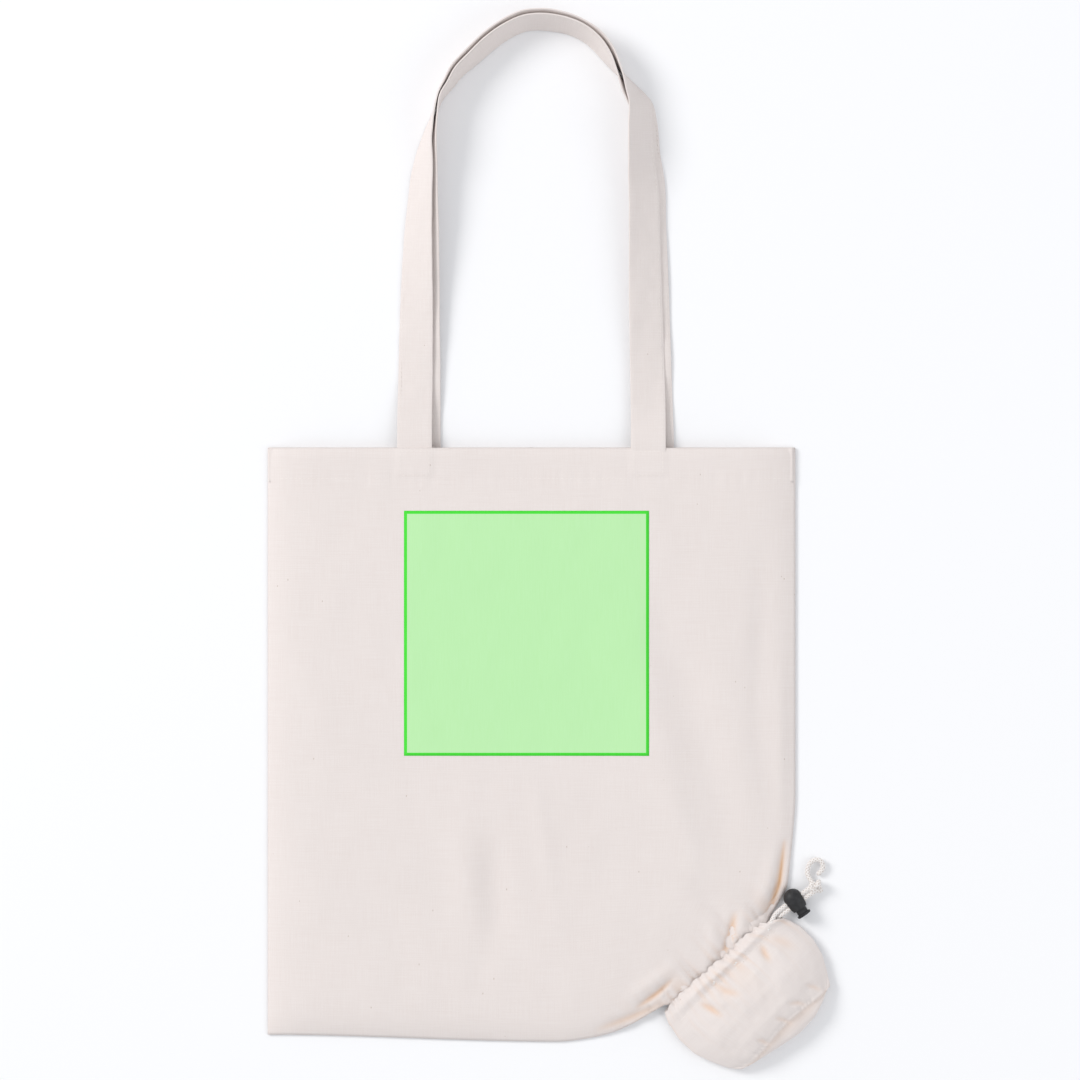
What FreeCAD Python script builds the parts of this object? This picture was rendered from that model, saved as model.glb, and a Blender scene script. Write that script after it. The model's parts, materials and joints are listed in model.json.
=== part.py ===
"""Foldable cotton tote bag with a drawstring storage pouch, laid flat on its back panel.

Frame: origin at the centre of the back panel's underside, +X to the right, +Y towards the
handles, +Z up. Lengths are in millimetres. Each function returns one named piece, and
main() writes each piece to parts/NAME.step.
"""
import FreeCAD, Part
import math
import os

Vector = FreeCAD.Vector

# Tote body
BAG_WIDTH = 380.0
BAG_HEIGHT = 424.0
CLOTH = 0.8
LOFT_HEIGHT = 10.0
SLOPE_RUN = 14.0
SLOPE_WALL = 0.9
FRONT_FOOT = 1.1
HEM_DEPTH = 24.0
HEM_SIDE_MARGIN = 15.0
SEAM_WIDTH = 8.0
SEAM_INSET = 3.5
SEAM_THICKNESS = 1.2
LOW_GATHER = (23.6, 8.8)
LOW_GATHER_RUN = 42.0
HIGH_GATHER = (13.6, 40.0)
HIGH_GATHER_RUN = 39.0
THREAD_WIDTH = 0.6
THREAD_HEIGHT = 0.3
HEM_STITCH_MARGIN = 1.2
PRINT_SIDE = 176.0
PRINT_SHIFT = -3.6
PRINT_FROM_TOP = 45.8
PRINT_THICKNESS = 0.2

# Handles
STRAP_WIDTH = 25.0
STRAP_THICKNESS = 1.2
HANDLE_SPACING = 168.0
BACK_HANDLE_SHIFT = 6.0
TAB_LENGTH = 20.0
TAB_DROP = 1.0
TAB_THICKNESS = 1.0
BOX_STITCH_MARGIN = 2.0
HANDLE_START = 1.4
STRAP_GAP = 0.7
STANDING_ROLL = 75
LOOP_MIDDLE = 200.0

# Storage pouch
POUCH_ANGLE = 42.0
POUCH_FROM_SIDE = 56.5
POUCH_FROM_BOTTOM = 52.0
POUCH_WIDTH = 122.0
POUCH_DEPTH = 81.0
POUCH_HEIGHT = 22.5
POUCH_SHIFT = 4.0
PILLOW_WALL = 0.8
PILLOW_ROOF = 1.2
PILLOW_RUNS = (3.0, 9.0, 19.0, 30.0)
PILLOW_FOOT_SHARE = 0.58
PILLOW_CROWN_DROP = 2.0
PAST_MOUTH = 9.0
OUTLET_INSIDE = 9.0
OUTLET_OUTSIDE = 8.0
OUTLET_DEPTH = 7.5
MOUTH_WIDTH = 102.0
MOUTH_HEIGHT = 16.8
MOUTH_GAP = 2.5
NECK_THICKNESS = 1.2
NECK_WIDTH = 72.0
NECK_END_WIDTH = 30.0
NECK_STOP = 12.0
NECK_KNEE = 1.5
CASING_DEPTH = 13.0
CASING_HEIGHT = 4.4
CASING_WIDTH = 70.0
CASING_WALL = 0.3
CASING_DROP = 1.7
POUCH_SEAM_INSET = 3.0
POUCH_SEAM_WIDTH = 4.0
POUCH_SEAM_START = 5.0

# Drawcord and cord lock
CORD_DIAMETER = 3.6
CORD_PITCH = 3.7
CORD_ANGLE = 35.0
CORD_EXIT = 6.0
CORD_TURN = 9.0
LOCK_FROM_MOUTH = (55.1, 46.8)
BARREL_LENGTH = 16.0
BARREL_DIAMETER = 13.3
BARREL_END_DIAMETER = 10.6
BARREL_FLOOR = 1.1
BARREL_ROUND = (0.86, 0.62)
BARREL_SHOULDER = 0.35
PLUNGER_DIAMETER = 8.1
PLUNGER_CLEARANCE = 0.1
PLUNGER_NECK = 4.1
PLUNGER_TRAVEL = 2.0
PLUNGER_TOE = 1.1
BUTTON_DIAMETER = 10.5
BUTTON_THICKNESS = 1.5
BUTTON_CHAMFER = 0.4
CORD_HOLE_OFFSET = 1.9
CORD_HOLE_CLEARANCE = 0.3
SPRING_WIRE = 0.3
SPRING_DIAMETER = 5.0
SPRING_TURNS = 2
SPRING_STEPS = 12
SPRING_SIDES = 6
KNOT_DIAMETER = 10.6
KNOT_CENTRE = (18.4, -0.6, 5.4)

FLOOR_CLEARANCE = 0.05
BODY_GAP = 0.3
REST_GAP = 0.1

# Worked out from the sizes above
HALF_WIDTH = BAG_WIDTH / 2
HALF_HEIGHT = BAG_HEIGHT / 2
FRONT_UNDERSIDE = LOFT_HEIGHT - SLOPE_WALL
MOUTH_CENTRE = (HALF_WIDTH - POUCH_FROM_SIDE, -HALF_HEIGHT + POUCH_FROM_BOTTOM)
LOCK_CENTRE = (MOUTH_CENTRE[0] + LOCK_FROM_MOUTH[0], MOUTH_CENTRE[1] + LOCK_FROM_MOUTH[1])
PRINT_CENTRE = (PRINT_SHIFT, HALF_HEIGHT - PRINT_FROM_TOP - PRINT_SIDE / 2)
CORD_RADIUS = CORD_DIAMETER / 2
LYING_CORD_Z = CORD_RADIUS + FLOOR_CLEARANCE
LOCK_HEIGHT = BARREL_DIAMETER / 2 + FLOOR_CLEARANCE
LOWER_CORD_Z = CLOTH + CASING_HEIGHT / 2
NECK_Z = CLOTH + CASING_HEIGHT + REST_GAP
UPPER_CASING_Z = MOUTH_HEIGHT - CASING_DROP - CASING_HEIGHT
UPPER_CORD_Z = UPPER_CASING_Z + CASING_HEIGHT / 2
CASING_START = 0.5
CASING_MIDDLE = CASING_START + CASING_DEPTH / 2


# ---------------------------------------------------------------- plain solids

def box(x_range, y_range, z_range):
    """A block between two values on each axis."""
    low = Vector(x_range[0], y_range[0], z_range[0])
    return Part.makeBox(x_range[1] - x_range[0], y_range[1] - y_range[0],
                        z_range[1] - z_range[0], low)


def polygon_face(points, z):
    """A flat face through (x, y) points at one height."""
    corners = [Vector(x, y, z) for x, y in points]
    return Part.Face(Part.makePolygon(corners + corners[:1]))


def plate(points, z_low, z_high):
    """A flat plate with a polygon outline."""
    return polygon_face(points, z_low).extrude(Vector(0, 0, z_high - z_low))


def inset(points, distances):
    """Move each edge of an anticlockwise convex polygon inwards by its own distance."""
    lines = []
    for index, start in enumerate(points):
        end = points[(index + 1) % len(points)]
        length = math.dist(start, end)
        along = ((end[0] - start[0]) / length, (end[1] - start[1]) / length)
        offset = distances[index]
        lines.append(((start[0] - along[1] * offset, start[1] + along[0] * offset), along))
    corners = []
    for index, (point, along) in enumerate(lines):
        before, before_along = lines[index - 1]
        cross = before_along[0] * along[1] - before_along[1] * along[0]
        gap = (point[0] - before[0], point[1] - before[1])
        reach = (gap[0] * along[1] - gap[1] * along[0]) / cross
        corners.append((before[0] + before_along[0] * reach, before[1] + before_along[1] * reach))
    return corners


def frustum(low_points, z_low, high_points, z_high):
    """A solid between two polygons whose edges are parallel."""
    faces = [polygon_face(low_points, z_low), polygon_face(high_points, z_high)]
    count = len(low_points)
    for index in range(count):
        after = (index + 1) % count
        quad = [Vector(*low_points[index], z_low), Vector(*low_points[after], z_low),
                Vector(*high_points[after], z_high), Vector(*high_points[index], z_high)]
        faces.append(Part.Face(Part.makePolygon(quad + quad[:1])))
    solid = Part.Solid(Part.Shell(faces))
    if solid.Volume < 0:
        solid.reverse()
    return solid


def rounded_path(points):
    """Straight runs joined by tangent arcs, and the arcs' radii."""
    edges = []
    radii = []
    start = points[0]
    for before, corner, after in zip(points, points[1:], points[2:]):
        back = (before - corner).normalize()
        ahead = (after - corner).normalize()
        turn = math.pi - back.getAngle(ahead)
        trim = 0.45 * min(before.distanceToPoint(corner), after.distanceToPoint(corner))
        radii.append(trim / math.tan(turn / 2))
        arc_start = corner + back * trim
        arc_end = corner + ahead * trim
        to_centre = (back + ahead).normalize()
        middle_reach = radii[-1] / math.cos(turn / 2) - radii[-1]
        edges.append(Part.LineSegment(start, arc_start).toShape())
        edges.append(Part.Arc(arc_start, corner + to_centre * middle_reach, arc_end).toShape())
        start = arc_end
    edges.append(Part.LineSegment(start, points[-1]).toShape())
    return Part.Wire(edges), radii


def tube(points, diameter, name):
    """A round cord along a route of corner points."""
    path, radii = rounded_path(points)
    profile = Part.Wire(Part.makeCircle(diameter / 2, points[0], points[1] - points[0]))
    solid = path.makePipeShell([profile], True, False, 2)
    expected = math.pi * diameter ** 2 / 4 * path.Length
    print(f"{name}: length {path.Length:.1f}, smallest radius {min(radii):.1f}, "
          f"volume over section times length {solid.Volume / expected:.4f}")
    return solid


# ---------------------------------------------------------------- tote body

def tote_outline():
    """The flat tote's outline, anticlockwise from the bottom left, cut off at the pouch mouth."""
    angle = math.radians(POUCH_ANGLE)
    reach = (math.cos(angle) * MOUTH_WIDTH / 2, math.sin(angle) * MOUTH_WIDTH / 2)
    mouth_low = (MOUTH_CENTRE[0] - reach[0], MOUTH_CENTRE[1] - reach[1])
    mouth_high = (MOUTH_CENTRE[0] + reach[0], MOUTH_CENTRE[1] + reach[1])
    gather_low = (mouth_low[0] - LOW_GATHER[0], mouth_low[1] - LOW_GATHER[1])
    gather_high = (mouth_high[0] + HIGH_GATHER[0], mouth_high[1] + HIGH_GATHER[1])
    return [(-HALF_WIDTH, -HALF_HEIGHT), (gather_low[0] - LOW_GATHER_RUN, -HALF_HEIGHT), gather_low,
            mouth_low, mouth_high, gather_high, (HALF_WIDTH, gather_high[1] + HIGH_GATHER_RUN),
            (HALF_WIDTH, HALF_HEIGHT), (-HALF_WIDTH, HALF_HEIGHT)]


POUCH_EDGE = 3
HEM_EDGE = 7


def edge_distances(side, pouch, hem):
    """One inset for each edge of the tote's outline."""
    distances = [side] * len(tote_outline())
    distances[POUCH_EDGE] = pouch
    distances[HEM_EDGE] = hem
    return distances


def back_panel():
    points = inset(tote_outline(), edge_distances(0, BODY_GAP, 0))
    return plate(points, 0, CLOTH)


def front_panel():
    """A shallow tray, open at the bag's mouth, whose sides slope down to the side seams."""
    foot = inset(tote_outline(), edge_distances(0, MOUTH_GAP, 0))
    crown = inset(tote_outline(), edge_distances(SLOPE_RUN, MOUTH_GAP + SLOPE_RUN, 0))
    outer = frustum(foot, FRONT_FOOT, crown, LOFT_HEIGHT)
    foot = inset(tote_outline(), edge_distances(0, MOUTH_GAP, -1))
    crown = inset(tote_outline(), edge_distances(SLOPE_RUN, MOUTH_GAP + SLOPE_RUN, -1))
    inner = frustum(foot, FRONT_FOOT - SLOPE_WALL, crown, FRONT_UNDERSIDE)
    return outer.cut(inner)


def left_seam():
    left = -HALF_WIDTH + SEAM_INSET
    return box((left, left + SEAM_WIDTH), (-HALF_HEIGHT + SEAM_INSET, HALF_HEIGHT - HEM_DEPTH - BODY_GAP),
               (CLOTH, CLOTH + SEAM_THICKNESS))


def right_seam():
    right = HALF_WIDTH - SEAM_INSET
    foot = tote_outline()[6][1]
    return box((right - SEAM_WIDTH, right), (foot, HALF_HEIGHT - HEM_DEPTH - BODY_GAP),
               (CLOTH, CLOTH + SEAM_THICKNESS))


def bottom_seam():
    left = -HALF_WIDTH + SEAM_INSET + SEAM_WIDTH + BODY_GAP
    low = -HALF_HEIGHT + SEAM_INSET
    return box((left, tote_outline()[1][0]), (low, low + SEAM_WIDTH), (CLOTH, CLOTH + SEAM_THICKNESS))


def hem(z_low):
    """The mouth's folded edge, sewn to the inside of one panel."""
    side = HALF_WIDTH - HEM_SIDE_MARGIN
    return box((-side, side), (HALF_HEIGHT - HEM_DEPTH, HALF_HEIGHT), (z_low, z_low + CLOTH))


def hem_stitching(z_low):
    side = HALF_WIDTH - HEM_SIDE_MARGIN
    line = HALF_HEIGHT - HEM_DEPTH + HEM_STITCH_MARGIN
    return box((-side, side), (line, line + THREAD_WIDTH), (z_low, z_low + THREAD_HEIGHT))


def print_panel():
    """The square of printed ink on the front panel."""
    half = PRINT_SIDE / 2
    x, y = PRINT_CENTRE
    return box((x - half, x + half), (y - half, y + half), (LOFT_HEIGHT, LOFT_HEIGHT + PRINT_THICKNESS))


# ---------------------------------------------------------------- handles

def handle_ends(shift, z_low):
    """The two ends of one strap that are sewn inside the hem."""
    half = STRAP_WIDTH / 2
    top = HALF_HEIGHT - TAB_DROP
    ends = []
    for side in (-1, 1):
        x = side * HANDLE_SPACING / 2 + shift
        ends.append(box((x - half, x + half), (top - TAB_LENGTH, top), (z_low, z_low + TAB_THICKNESS)))
    return Part.makeCompound(ends)


def handle_stitching(shift, z_low):
    """A rectangle of stitches through each sewn end."""
    outer = STRAP_WIDTH / 2 - BOX_STITCH_MARGIN
    inner = outer - THREAD_WIDTH
    high = HALF_HEIGHT - TAB_DROP - BOX_STITCH_MARGIN
    low = HALF_HEIGHT - HEM_DEPTH + HEM_STITCH_MARGIN + THREAD_WIDTH + BODY_GAP
    z = (z_low, z_low + THREAD_HEIGHT)
    frames = []
    for side in (-1, 1):
        x = side * HANDLE_SPACING / 2 + shift
        block = box((x - outer, x + outer), (low, high), z)
        window = box((x - inner, x + inner), (low + THREAD_WIDTH, high - THREAD_WIDTH), z)
        frames.append(block.cut(window))
    return Part.makeCompound(frames)


def strap_section(centre, tangent, roll, inward):
    """A strap's cross-section. Roll 0 lies flat, and 90 stands on the outer edge."""
    across = Vector(0, 0, 1).cross(tangent).normalize()
    if across.dot(inward) < 0:
        across = across * -1
    angle = math.radians(roll)
    width = across * math.cos(angle) + Vector(0, 0, 1) * math.sin(angle)
    thick = Vector(0, 0, 1) * math.cos(angle) - across * math.sin(angle)
    half_width = width * (STRAP_WIDTH / 2)
    half_thick = thick * (STRAP_THICKNESS / 2)
    corners = [centre - half_width - half_thick, centre + half_width - half_thick,
               centre + half_width + half_thick, centre - half_width + half_thick]
    return Part.makePolygon(corners + corners[:1])


def strap(stations, loop_middle):
    """A loft along (x, y, z of the lowest edge, roll) stations of the strap's middle line."""
    centres = []
    for x, y, z, roll in stations:
        rise = math.sin(math.radians(roll)) * STRAP_WIDTH / 2
        rise += abs(math.cos(math.radians(roll))) * STRAP_THICKNESS / 2
        centres.append(Vector(x, y, z + rise))
    sections = []
    for index, station in enumerate(stations):
        ahead = centres[min(index + 1, len(centres) - 1)]
        behind = centres[max(index - 1, 0)]
        tangent = ahead - behind
        tangent.z = 0
        inward = loop_middle - centres[index]
        sections.append(strap_section(centres[index], tangent, station[3], inward))
    return Part.makeLoft(sections, True, True)


# Each strap's middle line: distance in from its own sewn end, rise above the hem, and roll.
FRONT_LEFT_LEG = [(0, 0, 0), (0, 20, 2), (0.5, 48, 8), (1.5, 106, 22), (3.8, 174, 45), (6, 201, 55),
                  (8.4, 218, 70), (13.4, 237, 85), (17.5, 251, 90), (22.5, 259.5, 90), (29.5, 269.8, 90),
                  (39, 279, 90), (52.3, 291.4, 90), (66.5, 301, 90), (78, 305.8, 90), (88.7, 307.1, 90)]
FRONT_RIGHT_LEG = [(0, 0, 0), (0, 20, 2), (0.5, 48, 7), (2, 106, 17), (3, 158, 26), (3.5, 185, 30),
                   (5.1, 207, 41), (6.2, 231.5, 48), (6.5, 245, 51), (12, 256, 68), (20.7, 270.5, 90),
                   (28.2, 282, 90), (35, 290.5, 90), (44.8, 298.4, 90), (56, 303.6, 90), (68.5, 306.4, 90)]
BACK_LEFT_LEG = [(0, 0, 0), (0, 20, 1), (0, 48, 5), (0, 106, 16), (1.4, 174, 40), (2.3, 201, 50),
                 (5, 218, 66), (9.6, 237, 84), (14, 251, 90), (19.1, 257.6, 90), (25.8, 267.4, 90),
                 (35, 276.4, 90), (48, 288.5, 90), (62, 297.9, 90), (72.6, 302.5, 90), (82.7, 303.8, 90)]
BACK_RIGHT_LEG = [(0, 0, 0), (0.5, 20, 1), (1.5, 48, 4), (3.1, 106, 14), (4.7, 158, 22), (5, 185, 27),
                  (7, 207, 37), (8.6, 231.5, 44), (11.5, 243.5, 47), (20.2, 254.5, 66), (29.6, 268.9, 90),
                  (37, 280.2, 90), (43.4, 288.1, 90), (52.7, 295.7, 90), (63.4, 300.6, 90),
                  (75.1, 303.1, 90)]


def strap_line(left_leg, right_leg, shift):
    """A whole strap's (x, y, roll) stations, from its left end over the arch to its right end."""
    start = HALF_HEIGHT + HANDLE_START
    half = HANDLE_SPACING / 2
    left = [(shift - half + inward, start + rise, roll) for inward, rise, roll in left_leg]
    right = [(shift + half - inward, start + rise, roll) for inward, rise, roll in right_leg]
    return left + right[::-1]


def resting_height(front, back):
    """How high the front strap's lower edge lies where it crosses over the back strap."""
    x, y, roll = front
    back_x, back_y, back_roll = back
    if roll > STANDING_ROLL:
        return STRAP_GAP
    outward = math.copysign(1, x) * (x - back_x)
    turn, back_turn = math.radians(roll), math.radians(back_roll)
    half = STRAP_WIDTH / 2 * math.cos(turn)
    back_half = STRAP_WIDTH / 2 * math.cos(back_turn)
    layers = STRAP_THICKNESS / 2 * (1 / math.cos(turn) + 1 / math.cos(back_turn)) + STRAP_GAP
    heights = [STRAP_GAP]
    for place in (min(outward + half, back_half), max(outward - half, -back_half)):
        back_height = STRAP_GAP + (back_half - place) * math.tan(back_turn)
        heights.append(back_height + layers - (outward + half - place) * math.tan(turn))
    return max(heights)


def front_handle():
    """The strap of the front panel: its legs lie on the back strap's, and its arch is outside."""
    leave = FRONT_UNDERSIDE - CLOTH - TAB_THICKNESS
    line = strap_line(FRONT_LEFT_LEG, FRONT_RIGHT_LEG, 0)
    back_line = strap_line(BACK_LEFT_LEG, BACK_RIGHT_LEG, BACK_HANDLE_SHIFT)
    heights = [resting_height(front, back) for front, back in zip(line, back_line)]
    heights[0] = heights[-1] = leave
    heights[1] = heights[-2] = (leave + heights[2]) / 2
    stations = [(x, y, height, roll) for (x, y, roll), height in zip(line, heights)]
    return strap(stations, Vector(0, HALF_HEIGHT + LOOP_MIDDLE, 0))


def back_handle():
    """The strap of the back panel: its legs lie under the front strap's, and its arch is inside."""
    line = strap_line(BACK_LEFT_LEG, BACK_RIGHT_LEG, BACK_HANDLE_SHIFT)
    heights = [STRAP_GAP] * len(line)
    heights[0] = heights[-1] = CLOTH + CLOTH
    heights[1] = heights[-2] = CLOTH
    stations = [(x, y, height, roll) for (x, y, roll), height in zip(line, heights)]
    return strap(stations, Vector(BACK_HANDLE_SHIFT, HALF_HEIGHT + LOOP_MIDDLE, 0))


# ---------------------------------------------------------------- storage pouch
# Modelled with its mouth along local X at y = 0 and its depth towards local -Y.

def place_pouch(shape):
    """Turn a pouch piece from its own axes to the tote's bottom right corner."""
    placed = shape.copy()
    placed.rotate(Vector(0, 0, 0), Vector(0, 0, 1), POUCH_ANGLE)
    placed.translate(Vector(*MOUTH_CENTRE, 0))
    return placed


def pouch_point(u, v, z):
    """A point u along the mouth and v into the pouch, in the tote's frame."""
    angle = math.radians(POUCH_ANGLE)
    x = MOUTH_CENTRE[0] + u * math.cos(angle) + v * math.sin(angle)
    y = MOUTH_CENTRE[1] + u * math.sin(angle) - v * math.cos(angle)
    return Vector(x, y, z)


# Places on the pouch's outline, as shares of its half width and of its depth.
POUCH_CORNERS = [(-1, 0.30), (-0.80, 0.72), (-0.10, 1), (0.86, 0.70), (1, 0.34)]


def pouch_outline(shrink, mouth_v, z):
    """The pouch's rounded outline, shrunk by a distance all round, its mouth side at mouth_v."""
    half = POUCH_WIDTH / 2 - shrink
    depth = POUCH_DEPTH - shrink
    mouth = MOUTH_WIDTH / 2 - shrink
    left = Vector(-mouth, -mouth_v, z)
    right = Vector(mouth, -mouth_v, z)
    places = [Vector(POUCH_SHIFT + half * across, -depth * down, z) for across, down in POUCH_CORNERS]
    left_bulge, low_left, low_middle, low_right, right_bulge = places
    arcs = [Part.Arc(left, left_bulge, low_left), Part.Arc(low_left, low_middle, low_right),
            Part.Arc(low_right, right_bulge, right)]
    edges = [arc.toShape() for arc in arcs] + [Part.LineSegment(right, left).toShape()]
    return Part.Wire(edges)


def pillow(shrink, drop):
    """A rounded closed form on the pouch's outline, running on past the mouth."""
    runs = (0,) + PILLOW_RUNS
    heights = (FRONT_FOOT, MOUTH_HEIGHT * PILLOW_FOOT_SHARE, MOUTH_HEIGHT, POUCH_HEIGHT - PILLOW_CROWN_DROP,
               POUCH_HEIGHT)
    wires = []
    for inward, z in zip(runs, heights):
        wires.append(pouch_outline(inward + shrink, inward + shrink - PAST_MOUTH, z - drop))
    return Part.makeLoft(wires, True, False)


def pouch_back():
    face = Part.Face(pouch_outline(0, 0, 0))
    return place_pouch(face.extrude(Vector(0, 0, CLOTH)))


def pouch_front():
    """The puffed upper cloth, open at the mouth and beside it where the cord comes out."""
    outer = pillow(0, 0)
    inner = pillow(PILLOW_WALL, PILLOW_ROOF)
    past = box((-POUCH_WIDTH, POUCH_WIDTH), (0, POUCH_DEPTH), (-POUCH_HEIGHT, 2 * POUCH_HEIGHT))
    cord_outlet = box((MOUTH_WIDTH / 2 - OUTLET_INSIDE, MOUTH_WIDTH / 2 + OUTLET_OUTSIDE), (-OUTLET_DEPTH, 1),
                      (0, UPPER_CORD_Z))
    return place_pouch(outer.cut(inner).cut(past).cut(cord_outlet))


def casing(z_low):
    """One side of the hem that the drawcord runs through, as a flat sleeve."""
    half = CASING_WIDTH / 2
    y = (-CASING_START - CASING_DEPTH, -CASING_START)
    sleeve = box((-half, half), y, (z_low, z_low + CASING_HEIGHT))
    bore = box((-half, half), (y[0] + CASING_WALL, y[1] - CASING_WALL),
               (z_low + CASING_WALL, z_low + CASING_HEIGHT - CASING_WALL))
    return place_pouch(sleeve.cut(bore))


def channel_stitching():
    """The stitch line along the bottom of the front casing."""
    half = CASING_WIDTH / 2
    low = -CASING_START - CASING_DEPTH
    return place_pouch(box((-half, half), (low - THREAD_WIDTH, low),
                           (UPPER_CASING_Z, UPPER_CASING_Z + CASING_HEIGHT)))


def pouch_seam():
    """The seam allowance round the inside of the pouch."""
    thickness = Vector(0, 0, SEAM_THICKNESS)
    outer = Part.Face(pouch_outline(POUCH_SEAM_INSET, 0, CLOTH)).extrude(thickness)
    inner_edge = pouch_outline(POUCH_SEAM_INSET + POUCH_SEAM_WIDTH, -POUCH_SEAM_START, CLOTH)
    inner = Part.Face(inner_edge).extrude(thickness)
    casing_end = -CASING_START - CASING_DEPTH - 1
    above = box((-POUCH_WIDTH, POUCH_WIDTH), (casing_end, POUCH_DEPTH), (0, POUCH_HEIGHT))
    return place_pouch(outer.cut(inner).cut(above))


def tote_corner():
    """The gathered corner of the tote, from the pouch's mouth down to its bottom seam."""
    end = POUCH_DEPTH - NECK_STOP
    knee = CASING_START + CASING_DEPTH + NECK_KNEE
    rest = CLOTH + SEAM_THICKNESS + REST_GAP
    profile = [Vector(0, -BODY_GAP, NECK_Z), Vector(0, -knee, NECK_Z), Vector(0, -end, rest),
               Vector(0, -end, rest + NECK_THICKNESS), Vector(0, -knee, NECK_Z + NECK_THICKNESS),
               Vector(0, -BODY_GAP, NECK_Z + NECK_THICKNESS)]
    strip = Part.Face(Part.makePolygon(profile + profile[:1])).extrude(Vector(NECK_WIDTH, 0, 0))
    strip.translate(Vector(-NECK_WIDTH / 2, 0, 0))
    half, end_half = NECK_WIDTH / 2, NECK_END_WIDTH / 2
    shape = [(-half, 0), (-end_half, -end), (end_half, -end), (half, 0)]
    return place_pouch(strip.common(plate(shape, 0, POUCH_HEIGHT)))


# ---------------------------------------------------------------- drawcord
# Routes are given s along the cord through the lock, t across it, from the lock's cord hole.

def lock_point(s, t, z):
    """A point in the cord lock's axes: s along the cord, t along the plunger."""
    angle = math.radians(CORD_ANGLE)
    across = t + CORD_HOLE_OFFSET
    x = LOCK_CENTRE[0] + s * math.cos(angle) + across * math.sin(angle)
    y = LOCK_CENTRE[1] + s * math.sin(angle) - across * math.cos(angle)
    return Vector(x, y, z)


CASING_EXIT = CASING_WIDTH / 2 + CORD_EXIT
UPPER_BEND = pouch_point(CASING_EXIT, CASING_MIDDLE, UPPER_CORD_Z)
LOWER_BEND = pouch_point(CASING_EXIT, CASING_MIDDLE, LOWER_CORD_Z)
UPPER_APPROACH = lock_point(-19.5, -0.2, 8.0)
LOWER_APPROACH = lock_point(-19.5, 3.2, 5.4)
UPPER_OUTLET = (UPPER_BEND + UPPER_APPROACH) / 2
LOWER_OUTLET = (LOWER_BEND + LOWER_APPROACH) / 2


def drawcord_in_channel():
    """The part of the drawcord inside the casings, with its turn at the mouth's far end."""
    turn = -CASING_WIDTH / 2 - CORD_TURN
    points = [UPPER_OUTLET, UPPER_BEND, pouch_point(turn, CASING_MIDDLE, UPPER_CORD_Z),
              pouch_point(turn, CASING_MIDDLE, LOWER_CORD_Z), LOWER_BEND, LOWER_OUTLET]
    return tube(points, CORD_DIAMETER, "drawcord_in_channel")


def hooked_route():
    side = -CORD_PITCH / 2
    return [UPPER_OUTLET, UPPER_APPROACH, lock_point(-13, side, LOCK_HEIGHT),
            lock_point(10.5, side, LOCK_HEIGHT), lock_point(18, -2.3, 5.6), lock_point(17.8, -11.6, 2.4),
            lock_point(25.8, -17.8, 3.2), lock_point(33, -13.7, 3.6), lock_point(29.8, -6.2, 2.6),
            lock_point(23.8, -6.5, LYING_CORD_Z)]


def short_route():
    side = CORD_PITCH / 2
    return [LOWER_OUTLET, LOWER_APPROACH, lock_point(-13, side, LOCK_HEIGHT),
            lock_point(10.5, side, LOCK_HEIGHT), lock_point(18.4, 1.7, 5.1), lock_point(20, 5.4, 2.9)]


def drawcord_hooked_end():
    return tube(hooked_route(), CORD_DIAMETER, "drawcord_hooked_end")


def drawcord_short_end():
    return tube(short_route(), CORD_DIAMETER, "drawcord_short_end")


def drawcord_knot():
    """The overhand knot in both ends, as its plain outer shape."""
    ball = Part.makeSphere(KNOT_DIAMETER / 2, lock_point(*KNOT_CENTRE))
    return ball.cut(drawcord_hooked_end()).cut(drawcord_short_end())


# ---------------------------------------------------------------- cord lock
# Modelled with the plunger's axis along local -Y and the cord along local X.

def place_lock(shape):
    """Turn a cord lock piece from its own axes to where it sits on the cord."""
    placed = shape.copy()
    placed.rotate(Vector(0, 0, 0), Vector(0, 0, 1), CORD_ANGLE)
    placed.translate(Vector(*LOCK_CENTRE, LOCK_HEIGHT))
    return placed


def turned(profile):
    """A solid turned about local Y from (radius, position) points."""
    corners = [Vector(radius, -position, 0) for radius, position in profile]
    face = Part.Face(Part.makePolygon(corners + corners[:1]))
    return face.revolve(Vector(0, 0, 0), Vector(0, 1, 0), 360)


def cord_slot(low, high, clearance):
    """A slot for the two strands, between two positions along the plunger."""
    radius = CORD_RADIUS + clearance
    length = BARREL_DIAMETER
    ends = []
    for position in (low + radius, high - radius):
        ends.append(Part.makeCylinder(radius, 2 * length, Vector(-length, -position, 0), Vector(1, 0, 0)))
    middle = box((-length, length), (-(high - radius), -(low + radius)), (-radius, radius))
    return ends[0].fuse(ends[1]).fuse(middle)


def strand_range():
    """Where the two strands lie along the plunger, as its low and high limit."""
    reach = CORD_PITCH / 2 + CORD_RADIUS
    return CORD_HOLE_OFFSET - reach, CORD_HOLE_OFFSET + reach


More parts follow.
